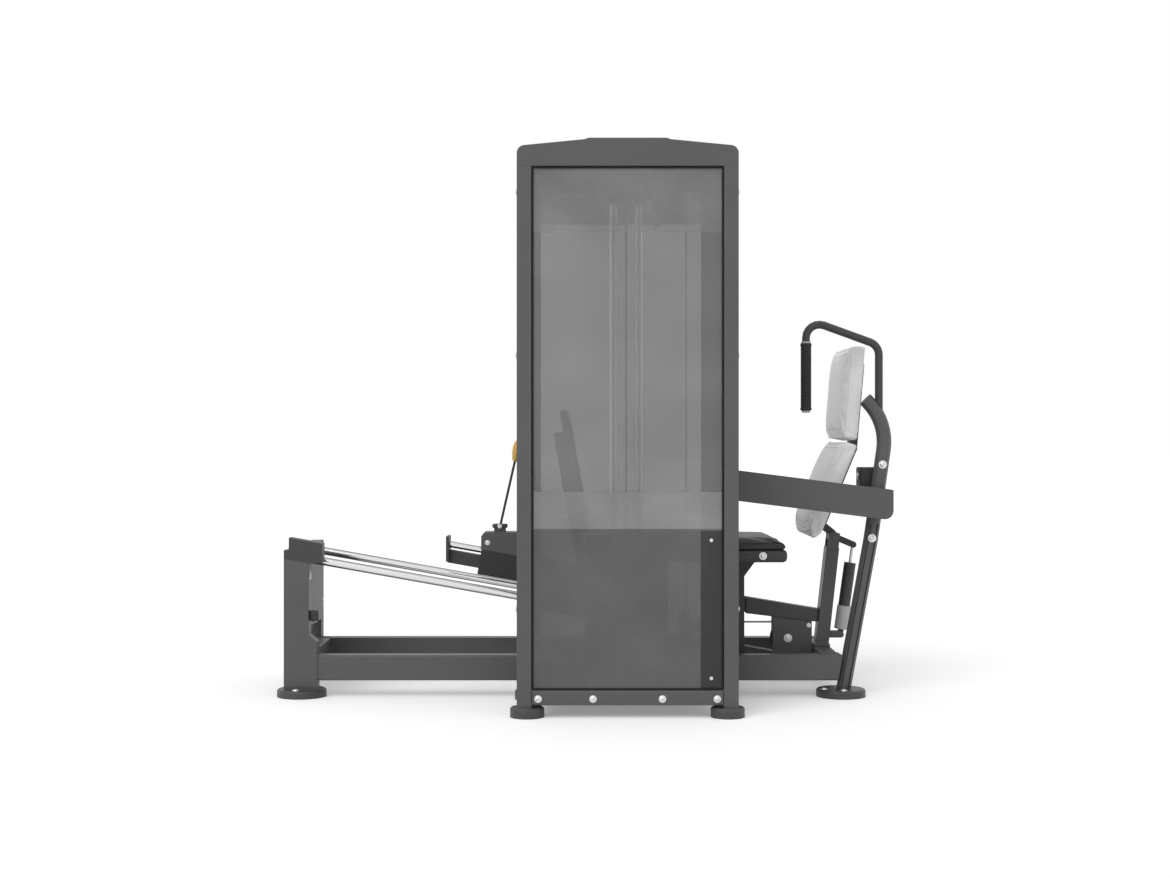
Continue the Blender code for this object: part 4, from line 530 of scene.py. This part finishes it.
def puffedPad(name, settings):
    up = Vector(settings["up"]).normalized()
    along = Vector(settings["along"]).normalized()
    side = up.cross(along)
    mesh = bmesh.new()
    mesh.from_mesh(nodes[settings["node"]].data)
    bmesh.ops.remove_doubles(mesh, verts=mesh.verts, dist=0.00002)
    bmesh.ops.recalc_face_normals(mesh, faces=mesh.faces)
    low = min(vert.co.dot(up) for vert in mesh.verts)
    high = max(vert.co.dot(up) for vert in mesh.verts)
    middle = sum((vert.co for vert in mesh.verts), Vector()) / len(mesh.verts)
    # a slightly smaller start leaves the cover room to swell; the flat underside stays where it is
    normals = {vert: vert.normal.copy() for vert in mesh.verts}
    reach = max(abs((vert.co - middle).dot(along)) for vert in mesh.verts)
    for vert, normal in normals.items():
        push = normal - up * min(0.0, normal.dot(up))
        vert.co -= push * settings["shrink"]
        vert.co += along * (settings["longer"] * (vert.co - middle).dot(along) / reach)
    piece = meshObject(mesh, name)
    remesh = piece.modifiers.new("evenSkin", "REMESH")
    remesh.mode = "VOXEL"
    remesh.voxel_size = puffSettings["voxel"]
    remesh.use_smooth_shade = True
    applyModifiers(piece)
    smoothSkin(piece, puffSettings["smoothRounds"])
    puff(piece, up, low, settings["cap"])
    return piece, up, along, side, low, high, middle


def applyModifiers(piece):
    bpy.context.view_layer.update()
    shown = piece.evaluated_get(bpy.context.evaluated_depsgraph_get())
    data = bpy.data.meshes.new_from_object(shown)
    piece.modifiers.clear()
    piece.data = data


def smoothSkin(piece, rounds):
    mesh = bmesh.new()
    mesh.from_mesh(piece.data)
    for _ in range(rounds):
        bmesh.ops.smooth_vert(mesh, verts=mesh.verts, factor=0.5, use_axis_x=True, use_axis_y=True,
                              use_axis_z=True)
    mesh.to_mesh(piece.data)
    mesh.free()


def puff(piece, up, low, cap):
    # air pressure inside a cover that is fastened to its board
    rest = [vert.co.copy() for vert in piece.data.vertices]
    pinned = piece.vertex_groups.new(name="board")
    board = low + puffSettings["boardHeight"]
    pinned.add([index for index, point in enumerate(rest) if point.dot(up) < board], 1.0, "REPLACE")
    cloth = piece.modifiers.new("puff", "CLOTH")
    cloth.settings.vertex_group_mass = "board"
    cloth.settings.use_pressure = True
    cloth.settings.uniform_pressure_force = puffSettings["pressure"]
    cloth.settings.effector_weights.gravity = 0.0
    cloth.settings.quality = 5
    cloth.settings.tension_stiffness = puffSettings["stiffness"]
    cloth.settings.compression_stiffness = puffSettings["stiffness"]
    cloth.settings.bending_stiffness = puffSettings["bending"]
    cloth.point_cache.frame_start = 1
    cloth.point_cache.frame_end = puffSettings["frames"]
    scene = bpy.context.scene
    for number in range(1, puffSettings["frames"] + 1):
        scene.frame_set(number)
    shown = piece.evaluated_get(bpy.context.evaluated_depsgraph_get())
    moved = [vert.co.copy() for vert in shown.data.vertices]
    piece.modifiers.clear()
    piece.vertex_groups.clear()
    for vert, start, finish in zip(piece.data.vertices, rest, moved):
        step = finish - start
        if step.length > cap:
            step *= cap / step.length
        vert.co = start + step
    scene.frame_set(1)


def finishPad(name, settings):
    piece, up, along, side, low, high, middle = puffedPad(name, settings)
    tree = BVHTree.FromPolygons([vert.co.copy() for vert in piece.data.vertices],
                                [list(face.vertices) for face in piece.data.polygons])
    # shallow draw-in beside the seam and small puckers where the cover is pulled round the corners
    seamHeight = low + (high - low) * settings["seamLevel"]
    centre = middle + up * (seamHeight - middle.dot(up))
    reachAlong = max(abs((vert.co - centre).dot(along)) for vert in piece.data.vertices)
    reachSide = max(abs((vert.co - centre).dot(side)) for vert in piece.data.vertices)
    for vert in piece.data.vertices:
        local = vert.co - centre
        height = local.dot(up)
        u = local.dot(along) / reachAlong
        v = local.dot(side) / reachSide
        rim = max(abs(u), abs(v))
        groove = math.exp(-(height / 0.0035) ** 2) * max(0.0, min(1.0, (rim - 0.9) / 0.06))
        outward = along * (1 if u > 0 else -1) if abs(u) > abs(v) else side * (1 if v > 0 else -1)
        vert.co -= outward * 0.0016 * groove
        corner = max(0.0, min(abs(u), abs(v)) - 0.72) / 0.28
        pucker = noise.noise(vert.co * 55) * 0.0011 * corner
        soft = noise.noise(vert.co * 9) * 0.0009
        if height > 0.004:
            vert.co += up * (pucker + soft)
    piece.data.update()
    piece.data.shade_smooth()
    paint(piece.data, settings["material"])
    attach(piece, settings["body"])
    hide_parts(settings["node"])

    # piping round the seam, laid on the puffed skin
    loop = []
    for step in range(240):
        angle = 2 * math.pi * step / 240
        # aim round the pad's rectangle so that the points stay even at the corners
        direction = along * (reachAlong * math.cos(angle)) + side * (reachSide * math.sin(angle))
        direction.normalize()
        far = centre + direction * 2
        hit = tree.ray_cast(far, -direction)
        if hit[0] is not None:
            loop.append(hit[0] - direction * 0.0002)
    loop = evened(loop, 260)
    mesh = startPiece()
    addRun(mesh, loop, settings["piping"], 10, closed=True, ripple=0.03, rippleLength=0.006)
    endPiece(mesh, name + "Piping", settings["material"], settings["body"], sharp=80)

    # one row of stitches inside the seam on the sitting face
    thread = startPiece()
    inset = settings["stitchInset"]
    path = []
    for point in loop:
        u = (point - centre).dot(along)
        v = (point - centre).dot(side)
        pulled = along * math.copysign(max(0.0, abs(u) - inset), u)
        pulled += side * math.copysign(max(0.0, abs(v) - inset), v)
        hit = tree.ray_cast(centre + pulled + up * 0.2, -up)
        if hit[0] is not None:
            path.append(hit[0] + up * 0.0001)
    length = sum((after - before).length for before, after in zip(path, path[1:]))
    path = evened(path, 2 * int(length / 0.0066))
    for first, second in zip(path[::2], path[1::2]):
        stitch = (second - first) * 0.35
        sunk = up * 0.0009
        addRun(thread, [first - stitch - sunk, first - stitch * 0.4, second + stitch * 0.4,
                        second + stitch - sunk], 0.00055, 6)
    endPiece(thread, name + "Stitching", threads[settings["threadColour"]], settings["body"])


def evened(points, count):
    lengths = [0.0]
    for first, second in zip(points, points[1:] + points[:1]):
        lengths.append(lengths[-1] + (second - first).length)
    total = lengths[-1]
    ring = points + points[:1]
    result = []
    place = 0
    for index in range(count):
        want = total * index / count
        while lengths[place + 1] < want:
            place += 1
        share = (want - lengths[place]) / max(1e-9, lengths[place + 1] - lengths[place])
        result.append(ring[place].lerp(ring[place + 1], share))
    for _ in range(2):
        result = [(result[index - 1] + result[index] * 2 + result[(index + 1) % count]) / 4
                  for index in range(count)]
    return result


threads = {
    "dark": newMaterial("darkThread", vinylGrain, {"Colour": rgb(0.06, 0.06, 0.063), "Roughness": 0.7,
                                                   "Grain Scale": 1500.0}),
    "light": newMaterial("lightThread", vinylGrain, {"Colour": rgb(0.42, 0.42, 0.41), "Roughness": 0.7,
                                                     "Grain Scale": 1500.0}),
}
for padName, padValues in padSettings.items():
    finishPad(padName, padValues)
print("upholstery ready")

# screws, by place: each row is a head's seat and the way it points
zincSteel = newMaterial("zincSteel", brushedLines, {
    "Colour": rgb(0.74, 0.74, 0.73), "Roughness": 0.30, "Stretch": (500.0, 500.0, 500.0), "Line Depth": 0.10,
    "Stain": 0.25}, {"Metallic": 0.85})
screwSettings = {
    "endFrameScrews": {"radius": 0.0085, "body": "frame", "rows": [
        ((-0.8235, -0.049, 0.3600), (1, 0, 0)),
        ((-0.8555, 0.403, 0.2400), (1, 0, 0)), ((-0.8555, 0.403, 0.3900), (1, 0, 0)),
        ((-0.8560, -0.1030, 0.0230), (0, 0, 1)), ((-0.8560, 0.0060, 0.0230), (0, 0, 1)),
        ((-0.8560, 0.3480, 0.0230), (0, 0, 1)), ((-0.8560, 0.4580, 0.0230), (0, 0, 1))]},
    "rearFrameScrews": {"radius": 0.0085, "body": "frame", "rows": [
        ((0.7650, -0.1030, 0.0230), (0, 0, 1)), ((0.7120, -0.0700, 0.0230), (0, 0, 1)),
        ((0.7650, 0.4580, 0.0230), (0, 0, 1)), ((0.7650, 0.3480, 0.0230), (0, 0, 1))]},
    "towerBaseScrews": {"radius": 0.0072, "body": "frame", "rows": [
        ((-0.129, -0.4590, 0.0540), (0, -1, 0)), ((0.022, -0.4590, 0.0540), (0, -1, 0)),
        ((0.213, -0.4590, 0.0540), (0, -1, 0)), ((0.364, -0.4590, 0.0540), (0, -1, 0)),
        ((-0.110, -0.0745, 0.0540), (0, 1, 0)), ((0.344, -0.0745, 0.0540), (0, 1, 0))]},
    "towerSideScrews": {"radius": 0.0062, "body": "frame", "rows": [
        ((x, y, z), (way, 0, 0)) for x, way in ((-0.188, -1), (0.423, 1)) for y in (-0.439, -0.0945)
        for z in (0.30, 1.00, 1.45)]},
    "seatScrews": {"radius": 0.0080, "body": "frame", "rows": [
        ((0.534, -0.0370, 0.4180), (0, -1, 0)), ((0.236, -0.0370, 0.4180), (0, -1, 0)),
        ((0.534, 0.3910, 0.4180), (0, 1, 0)), ((0.236, 0.3910, 0.4180), (0, 1, 0)),
        ((0.4300, 0.1170, 0.3200), (-1, 0, 0)), ((0.4300, 0.2370, 0.3200), (-1, 0, 0))]},
}
addScrewSets(screwSettings, 0.35)
print("screws ready")


# weld beads where tubes meet
weldSettings = {"radius": 0.0030, "ripple": 0.16, "rippleLength": 0.0042}


def addWeldRing(mesh, plane, at, firstRange, secondRange, corner=0.004):
    points = []
    (lowA, highA), (lowB, highB) = firstRange, secondRange
    corners = ((highA - corner, highB - corner, 0), (lowA + corner, highB - corner, 90),
               (lowA + corner, lowB + corner, 180), (highA - corner, lowB + corner, 270))
    flat = []
    for a, b, start in corners:
        for step in range(4):
            angle = math.radians(start + 30 * step)
            flat.append((a + corner * math.cos(angle), b + corner * math.sin(angle)))
    dense = []
    for (a1, b1), (a2, b2) in zip(flat, flat[1:] + flat[:1]):
        length = math.hypot(a2 - a1, b2 - b1)
        steps = max(1, int(length / 0.0014))
        dense += [(a1 + (a2 - a1) * step / steps, b1 + (b2 - b1) * step / steps) for step in range(steps)]
    for a, b in dense:
        points.append({"X": (at, a, b), "Y": (a, at, b), "Z": (a, b, at)}[plane])
    addRun(mesh, points, weldSettings["radius"], 8, closed=True, ripple=weldSettings["ripple"],
           rippleLength=weldSettings["rippleLength"])


def addWeldLine(mesh, start, end):
    count = int((Vector(end) - Vector(start)).length / 0.0014) + 2
    points = [Vector(start).lerp(Vector(end), index / (count - 1)) for index in range(count)]
    addRun(mesh, points, weldSettings["radius"], 8, ripple=weldSettings["ripple"],
           rippleLength=weldSettings["rippleLength"])


mesh = startPiece()
addWeldRing(mesh, "X", -0.7977, (-0.0740, -0.0240), (0.0520, 0.1250))
for left, right, top in ((-0.8880, -0.8260, 0.1250), (0.4300, 0.4900, 0.1050), (0.7080, 0.7620, 0.1250)):
    for y in (-0.0237, 0.3777):
        addWeldRing(mesh, "Y", y, (left, right), (0.0520, top))
addWeldRing(mesh, "Z", 0.1052, (0.4300, 0.4900), (0.0920, 0.2620))
addWeldRing(mesh, "Y", -0.0237, (0.2050, 0.2450), (0.0520, 0.1230))
endPiece(mesh, "floorFrameWelds", framePaint, "frame")
mesh = startPiece()
for x in (-0.148, 0.383):
    for y in (-0.459, -0.1145):
        for z in (0.0362, 0.0768):
            addWeldLine(mesh, (x, y + 0.002, z), (x, y + 0.038, z))
for x in (-0.888, -0.854):
    addWeldLine(mesh, (x, -0.0237, 0.1915), (x, -0.0237, 0.4385))
    addWeldLine(mesh, (x, 0.3777, 0.1915), (x, 0.3777, 0.4385))
endPiece(mesh, "uprightWelds", framePaint, "frame")
print("welds ready")

# the tower's inside edges: rubber beading round the front shroud, channel strips and a pale strip at the cap
towerSettings = {"left": -0.1477, "right": 0.3827, "front": -0.4590, "shroudBack": -0.4470, "low": 0.0773,
                 "high": 1.5200}


def towerTrim(settings):
    left, right = settings["left"], settings["right"]
    low, high, front = settings["low"], settings["high"], settings["front"]
    mesh = startPiece()
    inset = 0.0030
    run = [(left + inset, low + inset), (right - inset, low + inset), (right - inset, high - inset),
           (left + inset, high - inset)]
    for (x1, z1), (x2, z2) in zip(run, run[1:] + run[:1]):
        addRun(mesh, [(x1, front + 0.0052, z1), (x2, front + 0.0052, z2)], 0.0027, 12)
    endPiece(mesh, "shroudBeading", blackRubber, "frame")

    # channel strips that hold the sheet, behind it
    mesh = startPiece()
    back = settings["shroudBack"] + 0.0004
    addBlock(mesh, (right - 0.062, back, low + 0.002), (right - 0.0004, back + 0.020, high - 0.004), 0.002)
    endPiece(mesh, "shroudChannelRight", blackPlastic, "frame")
    mesh = startPiece()
    addBlock(mesh, (left + 0.0004, back, low + 0.002), (left + 0.026, back + 0.020, high - 0.004), 0.002)
    endPiece(mesh, "shroudChannelLeft", framePaint, "frame")

    # pale strip under the cap
    mesh = startPiece()
    addBlock(mesh, (left + 0.030, back, 1.5040), (right - 0.066, back + 0.010, 1.5195), 0.0025)
    endPiece(mesh, "capStrip", paleStrip, "frame")


# upper rear sheet, between the rear shroud's rail and the cap
mesh = startPiece()
addBlock(mesh, (towerSettings["left"] + 0.0004, -0.0905, 1.4064),
         (towerSettings["right"] - 0.0004, -0.0880, 1.5195), 0.0008)
endPiece(mesh, "upperRearSheet", smokedRear, "frame")

paleStrip = newMaterial("paleStrip", paintGrain, {
    "Colour": rgb(0.46, 0.46, 0.46), "Edge Colour": rgb(0.5, 0.5, 0.5), "Roughness": 0.4,
    "Grain Scale": 600.0, "Grain Depth": 0.1, "Edge Wear": 0.2})
towerTrim(towerSettings)

# clips along the rear shroud's rail
mesh = startPiece()
for x in (-0.135, 0.02, 0.215, 0.370):
    addBlock(mesh, (x - 0.009, -0.1000, 1.3950), (x + 0.009, -0.0966, 1.4060), 0.001)
    addScrew(mesh, (x, -0.1000, 1.4005), (0, -1, 0), 0.0034)
endPiece(mesh, "shroudClips", zincSteel, "frame")
print("tower trim ready")

# weight plates: bright pin sockets on their far face, raised ribs, and rod bushings on the top plate
stackSettings = {"x": 0.1175, "y": -0.269, "far": -0.214, "near": -0.324, "pitch": 0.026, "low": 0.1003,
                 "resting": 9, "lifted": 6, "rodOffset": 0.036}


def plateDetails(settings):
    for name, first, count, body in (("restingSockets", 0, settings["resting"], "frame"),
                                     ("liftedSockets", settings["resting"], settings["lifted"], "stack")):
        mesh = startPiece()
        for index in range(first, first + count):
            if body == "stack" and index == first:
                continue
            z = settings["low"] + (index + 0.5) * settings["pitch"]
            ring = [(0.0050, 0.0), (0.0092, 0.0), (0.0092, 0.0009), (0.0084, 0.0016), (0.0060, 0.0016),
                    (0.0050, 0.0006), (0.0050, 0.0)]
            addTurned(mesh, ring, facing((settings["x"], settings["far"], z), (0, 1, 0)), 20)
        endPiece(mesh, name, zincSteel, body)
    for name, first, count, body in (("restingRibs", 0, settings["resting"], "frame"),
                                     ("liftedRibs", settings["resting"], settings["lifted"], "stack")):
        mesh = startPiece()
        for index in range(first, first + count):
            z = settings["low"] + index * settings["pitch"]
            for y, way in ((settings["near"], -1), (settings["far"], 1)):
                for side in (-1, 1):
                    x1 = settings["x"] + side * 0.030
                    x2 = settings["x"] + side * 0.108
                    low = (min(x1, x2), min(y, y + way * 0.0012), z + 0.0060)
                    high = (max(x1, x2), max(y, y + way * 0.0012), z + 0.0185)
                    addBlock(mesh, low, high, 0.0010, segments=2)
        endPiece(mesh, name, plateIron, body)
    mesh = startPiece()
    top = settings["low"] + (settings["resting"] + settings["lifted"]) * settings["pitch"] - 0.0003
    for side in (-1, 1):
        ring = [(0.0128, 0.0), (0.0200, 0.0), (0.0200, 0.0050), (0.0175, 0.0070), (0.0140, 0.0070),
                (0.0128, 0.0060), (0.0128, 0.0)]
        x = settings["x"] + side * settings["rodOffset"]
        addTurned(mesh, ring, facing((x, settings["y"], top), (0, 0, 1)), 28)
    endPiece(mesh, "topPlateBushings", blackPlastic, "stack")


plateDetails(stackSettings)
print("weight stack ready")

# steel cables: strands wound round a core, in place of the plain taut runs; each is laid straight between a
# moving end and the fixed cable
cableSettings = {"strand": 0.00105, "wind": 0.0020, "lay": 0.021, "step": 0.0030, "strands": 6}


def addCable(mesh, start, end, settings):
    start, end = Vector(start), Vector(end)
    along = end - start
    count = int(along.length / settings["step"]) + 2
    side = along.orthogonal().normalized()
    other = along.normalized().cross(side)
    addRun(mesh, [start, end], settings["strand"] * 1.1, 8)
    for strand in range(settings["strands"]):
        points = []
        for index in range(count):
            share = index / (count - 1)
            angle = 2 * math.pi * (strand / settings["strands"] + along.length * share / settings["lay"])
            outward = side * math.cos(angle) + other * math.sin(angle)
            points.append(start + along * share + outward * settings["wind"])
        addRun(mesh, points, settings["strand"], 6)


def nodeEnds(name, axis):
    # middle of a straight run's two end rings
    points = [vert.co.copy() for vert in nodes[name].data.vertices]
    points.sort(key=lambda point: point[axis])
    half = len(points) // 2
    return [sum(group, Vector()) / len(group) for group in (points[:half], points[half:])]


def taut(name, node, start, end):
    mesh = startPiece()
    addCable(mesh, start, end, cableSettings)
    bmesh.ops.recalc_face_normals(mesh, faces=mesh.faces)
    piece = meshObject(mesh, name)
    piece.data.shade_smooth()
    piece.data.materials.append(cableSteel)
    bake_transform(piece)
    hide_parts(node)


cableSteel = newMaterial("cableSteel", brushedLines, {
    "Colour": rgb(0.30, 0.30, 0.30), "Roughness": 0.34, "Stretch": (900.0, 900.0, 900.0), "Line Depth": 0.2,
    "Stain": 0.5}, {"Metallic": 0.9})
low, high = nodeEnds("cable_sled_run", 0)
taut("sledCable", "cable_sled_run", low, high)
low, high = nodeEnds("cable_stack_run", 2)
taut("stackCable", "cable_stack_run", low, high)
paint(nodes["cable_route"].data, cableSteel)
print("cables ready")

# ribbed sleeve on the handle, with a pale end plug and collar
gripSettings = {"x": 0.661, "y": -0.049, "low": 0.854, "high": 1.055, "radius": 0.0155}


def dressGrip(settings):
    at = (settings["x"], settings["y"], 0)
    mesh = startPiece()
    ribs = 26
    for index in range(ribs):
        z = settings["low"] + 0.014 + (settings["high"] - settings["low"] - 0.030) * index / (ribs - 1)
        ring = [(settings["radius"] - 0.0002, z - 0.0019), (settings["radius"] + 0.0007, z - 0.0010),
                (settings["radius"] + 0.0007, z + 0.0010), (settings["radius"] - 0.0002, z + 0.0019)]
        addTurned(mesh, ring + ring[:1], Matrix.Translation(at), 28)
    for z in (settings["low"] + 0.0050, settings["high"] - 0.0055):
        ring = [(settings["radius"] - 0.0002, z - 0.0045), (settings["radius"] + 0.0012, z - 0.0035),
                (settings["radius"] + 0.0014, z), (settings["radius"] + 0.0012, z + 0.0035),
                (settings["radius"] - 0.0002, z + 0.0045)]
        addTurned(mesh, ring + ring[:1], Matrix.Translation(at), 32)
    endPiece(mesh, "gripRibs", gripRubber, "frame")
    mesh = startPiece()
    low = settings["low"]
    plug = [(0.0, low + 0.0002), (0.0126, low + 0.0002), (0.0130, low - 0.0040), (0.0112, low - 0.0062),
            (0.0, low - 0.0066)]
    addTurned(mesh, plug, Matrix.Translation(at), 28)
    high = settings["high"]
    collar = [(0.0122, high + 0.0002), (0.0152, high + 0.0002), (0.0152, high + 0.0040),
              (0.0140, high + 0.0052), (0.0122, high + 0.0052), (0.0122, high + 0.0002)]
    addTurned(mesh, collar, Matrix.Translation(at), 28)
    endPiece(mesh, "gripEnds", paleStrip, "frame")


dressGrip(gripSettings)

# rubber tread on the pressing side of the foot plate, in rows of raised bars, with its screws
treadSettings = {"low": (0.000, 0.490), "high": (-0.065, 0.855), "face": 0.0112, "y": 0.177,
                 "halfWidth": 0.190, "inset": 0.018, "rows": 16, "bars": 9}


def treadFrame(settings):
    lowX, lowZ = settings["low"]
    highX, highZ = settings["high"]
    along = Vector((highX - lowX, 0, highZ - lowZ))
    length = along.length
    along.normalize()
    normal = Vector((along.z, 0, -along.x))
    origin = Vector((lowX, settings["y"], lowZ)) + normal * settings["face"]
    turn = Matrix((Vector((0, 1, 0)), along, normal)).transposed()
    if turn.determinant() < 0:
        turn = Matrix((Vector((0, -1, 0)), along, normal)).transposed()
    return Matrix.Translation(origin) @ turn.to_4x4(), length


def makeTread(settings):
    place, length = treadFrame(settings)
    inset = settings["inset"]
    half = settings["halfWidth"]
    mesh = startPiece()
    addBlock(mesh, (-half, inset, 0.0), (half, length - inset, 0.0026), 0.0009, place)
    for row in range(settings["rows"]):
        v = inset + 0.016 + (length - 2 * inset - 0.032) * row / (settings["rows"] - 1)
        shift = 0.012 if row % 2 else 0.0
        for column in range(settings["bars"]):
            u = -half + 0.026 + shift + (2 * half - 0.064) * column / (settings["bars"] - 1)
            addBlock(mesh, (u - 0.015, v - 0.0032, 0.0022), (u + 0.015, v + 0.0032, 0.0046), 0.0008, place, 2)
    endPiece(mesh, "footTread", blackRubber, "foot_carriage")
    mesh = startPiece()
    for u in (-half - 0.009, half + 0.009):
        for v in (0.030, length / 2, length - 0.030):
            addScrew(mesh, place @ Vector((u, v, 0.0)), place.to_3x3() @ Vector((0, 0, 1)), 0.0050)
    endPiece(mesh, "footPlateScrews", zincSteel, "foot_carriage")


makeTread(treadSettings)
print("grip and tread ready")

# bolts on the rear upright and beside the recline lock, hub nuts of the low pulley's block, lever pin nuts
boltSettings = {
    "uprightBolts": {"body": "frame", "radius": 0.0085, "rows": [
        ((0.8866, -0.0708, 0.6930), (0, -1, 0)), ((0.8550, -0.0708, 0.4735), (0, -1, 0)),
        ((0.8262, 0.0100, 0.6580), (-1, 0, 0))]},
    "blockBolts": {"body": "frame", "radius": 0.0050, "rows": [
        ((0.6960, 0.1528, 0.1900), (0, -1, 0)), ((0.6960, 0.2012, 0.1900), (0, 1, 0))]},
    "clampBolts": {"body": "sled", "radius": 0.0055, "rows": [
        ((-0.3020, 0.1340, 0.4480), (0, -1, 0)), ((-0.1600, 0.1340, 0.4380), (0, -1, 0)),
        ((-0.3020, 0.2200, 0.4480), (0, 1, 0)), ((-0.1600, 0.2200, 0.4380), (0, 1, 0))]},
    "postFootBolts": {"body": "frame", "radius": 0.0062, "rows": [((-0.8060, -0.0490, 0.2260), (0, 0, -1))]},
}
addScrewSets(boltSettings, 0.4)
mesh = startPiece()
addNut(mesh, (0.631, 0.1528, 0.150), (0, -1, 0), 0.0095, 0.0070)
addNut(mesh, (0.631, 0.2012, 0.150), (0, 1, 0), 0.0095, 0.0070)
endPiece(mesh, "hubNuts", zincSteel, "frame")

# small locating block on the end post, above the shoe
mesh = startPiece()
addBlock(mesh, (-0.8232, -0.0640, 0.2262), (-0.7960, -0.0340, 0.2560), 0.0030)
endPiece(mesh, "postBlock", blackPlastic, "frame")

# collar plates outside the lever's ears
mesh = startPiece()
for side in (-1, 1):
    y = 0.177 + side * 0.0142
    outside = y + side * 0.0040
    addBlock(mesh, (-0.2885, min(y, outside), 0.4925), (-0.2425, max(y, outside), 0.5035), 0.0012)
endPiece(mesh, "leverCollar", darkPaint, "sled")
mesh = startPiece()
for side in (-1, 1):
    addNut(mesh, (-0.2655, 0.177 + side * 0.0182, 0.4975), (0, side, 0), 0.0050, 0.0040)
endPiece(mesh, "leverPinNuts", zincSteel, "sled")

# light sleeve at the foot of the gas strut
strutSettings = {"low": (0.797, 0.160), "high": (0.836, 0.440), "y": 0.177, "from": 0.0165, "to": 0.090}
lowX, lowZ = strutSettings["low"]
highX, highZ = strutSettings["high"]
strutAlong = Vector((highX - lowX, 0, highZ - lowZ)).normalized()
mesh = startPiece()
low, high = strutSettings["from"], strutSettings["to"]
ring = [(0.0184, low), (0.0205, low), (0.0212, low + 0.003), (0.0212, high - 0.003), (0.0205, high),
        (0.0184, high), (0.0184, low)]
addTurned(mesh, ring, facing((lowX, strutSettings["y"], lowZ), strutAlong), 36)
endPiece(mesh, "strutSleeve", paleStrip, "strut_cylinder")

# dark lines along the near side of the rear upright, below the arm: painted shade for the shaded sides of the
# round tube
mesh = startPiece()
for side in (-1, 1):
    points = [(0.7715 + (0.8550 - 0.7710) / 0.460 * (z - 0.012) + side * 0.0105, -0.0684, z)
              for z in spread(0.030, 0.515, 60)]
    addRun(mesh, points, 0.0017, 8, flatten=0.8)
endPiece(mesh, "uprightShadeLines", blackRubber, "frame")

# wiper rings where the guide rods enter the sled, at both ends
rodSlope = math.radians(10.1)
downhill = Vector((math.cos(rodSlope), 0, -math.sin(rodSlope)))
sledSkin = nodes["sled_carriage"].data
sledTree = BVHTree.FromPolygons([vert.co.copy() for vert in sledSkin.vertices],
                                [list(face.vertices) for face in sledSkin.polygons])
mesh = startPiece()
for y in (0.007, 0.347):
    rodPoint = Vector((0, y, 0.2585))
    for way in (-1, 1):
        probe = rodPoint + downhill * way * 0.8 + Vector((downhill.z * -1, 0, downhill.x)) * 0.016
        hit = sledTree.ray_cast(probe, downhill * -way)
        if hit[0] is not None:
            distance = (hit[0] - rodPoint).dot(downhill)
            ring = [(0.0130, -0.0004), (0.0200, -0.0004), (0.0200, 0.0030), (0.0184, 0.0046),
                    (0.0146, 0.0046), (0.0130, 0.0034), (0.0130, -0.0004)]
            addTurned(mesh, ring, facing(rodPoint + downhill * distance, downhill * way), 28)
endPiece(mesh, "rodWipers", blackRubber, "sled")

# dark kick guard low on the right of the sheet
mesh = startPiece()
addBlock(mesh, (0.3195, -0.4536, 0.0830), (0.3770, -0.4512, 0.5150), 0.0010)
endPiece(mesh, "kickGuard", blackPlastic, "frame")
mesh = startPiece()
for z in (0.110, 0.490):
    addScrew(mesh, (0.3480, -0.4536, z), (0, -1, 0), 0.0034)
endPiece(mesh, "guardScrews", zincSteel, "frame")
print("bolts and small parts ready")


# plain pale floor, soft studio light
studioSettings = {"floorColour": 0.93, "floorGlow": 0.24, "worldLight": 0.62, "keyPower": 1.25,
                  "keyDirection": (0.42, 0.72, -0.80)}


def raysThatSee(tree):
    path = addNode(tree, "ShaderNodeLightPath").outputs
    seen = addMath(tree, "MAXIMUM", path["Is Camera Ray"], path["Is Transmission Ray"])
    return addMath(tree, "MAXIMUM", seen, path["Is Glossy Ray"])


def makeStudio(settings):
    mesh = startPiece()
    bmesh.ops.create_grid(mesh, x_segments=8, y_segments=8, size=60)
    floor = meshObject(mesh, "studioFloor")
    material = bpy.data.materials.new("paleFloor")
    material.use_nodes = True
    tree = material.node_tree
    skin = tree.nodes["Principled BSDF"]
    where = addNode(tree, "ShaderNodeTexCoord").outputs["Object"]
    cloud = addMath(tree, "MULTIPLY", addNoise(tree, where, 2.0, 3.0), 0.01)
    tone = addMath(tree, "ADD", settings["floorColour"] - 0.005, cloud)
    tree.links.new(tone, skin.inputs["Base Color"])
    # the floor looks paper white to the camera and in reflections, and still takes the shadow
    glow = addMath(tree, "MULTIPLY", raysThatSee(tree), settings["floorGlow"])
    tree.links.new(glow, skin.inputs["Emission Strength"])
    skin.inputs["Emission Color"].default_value = (1, 1, 1, 1)
    skin.inputs["Roughness"].default_value = 0.9
    skin.inputs["Specular IOR Level"].default_value = 0.1
    floor.data.materials.append(material)

    world = bpy.data.worlds.new("studioWorld")
    bpy.context.scene.world = world
    world.use_nodes = True
    tree = world.node_tree
    background = tree.nodes["Background"]
    extra = addMath(tree, "MULTIPLY", raysThatSee(tree), 1.0 - settings["worldLight"])
    strength = addMath(tree, "ADD", settings["worldLight"], extra)
    background.inputs["Color"].default_value = (1, 1, 1, 1)
    tree.links.new(strength, background.inputs["Strength"])

    key = bpy.data.lights.new("softKey", "SUN")
    key.energy = settings["keyPower"]
    key.angle = math.radians(40)
    lamp = bpy.data.objects.new("softKey", key)
    lamp.rotation_euler = Vector(settings["keyDirection"]).to_track_quat("-Z", "Y").to_euler()
    bpy.context.collection.objects.link(lamp)


makeStudio(studioSettings)
bpy.context.scene.view_settings.view_transform = "Standard"
print("studio ready")
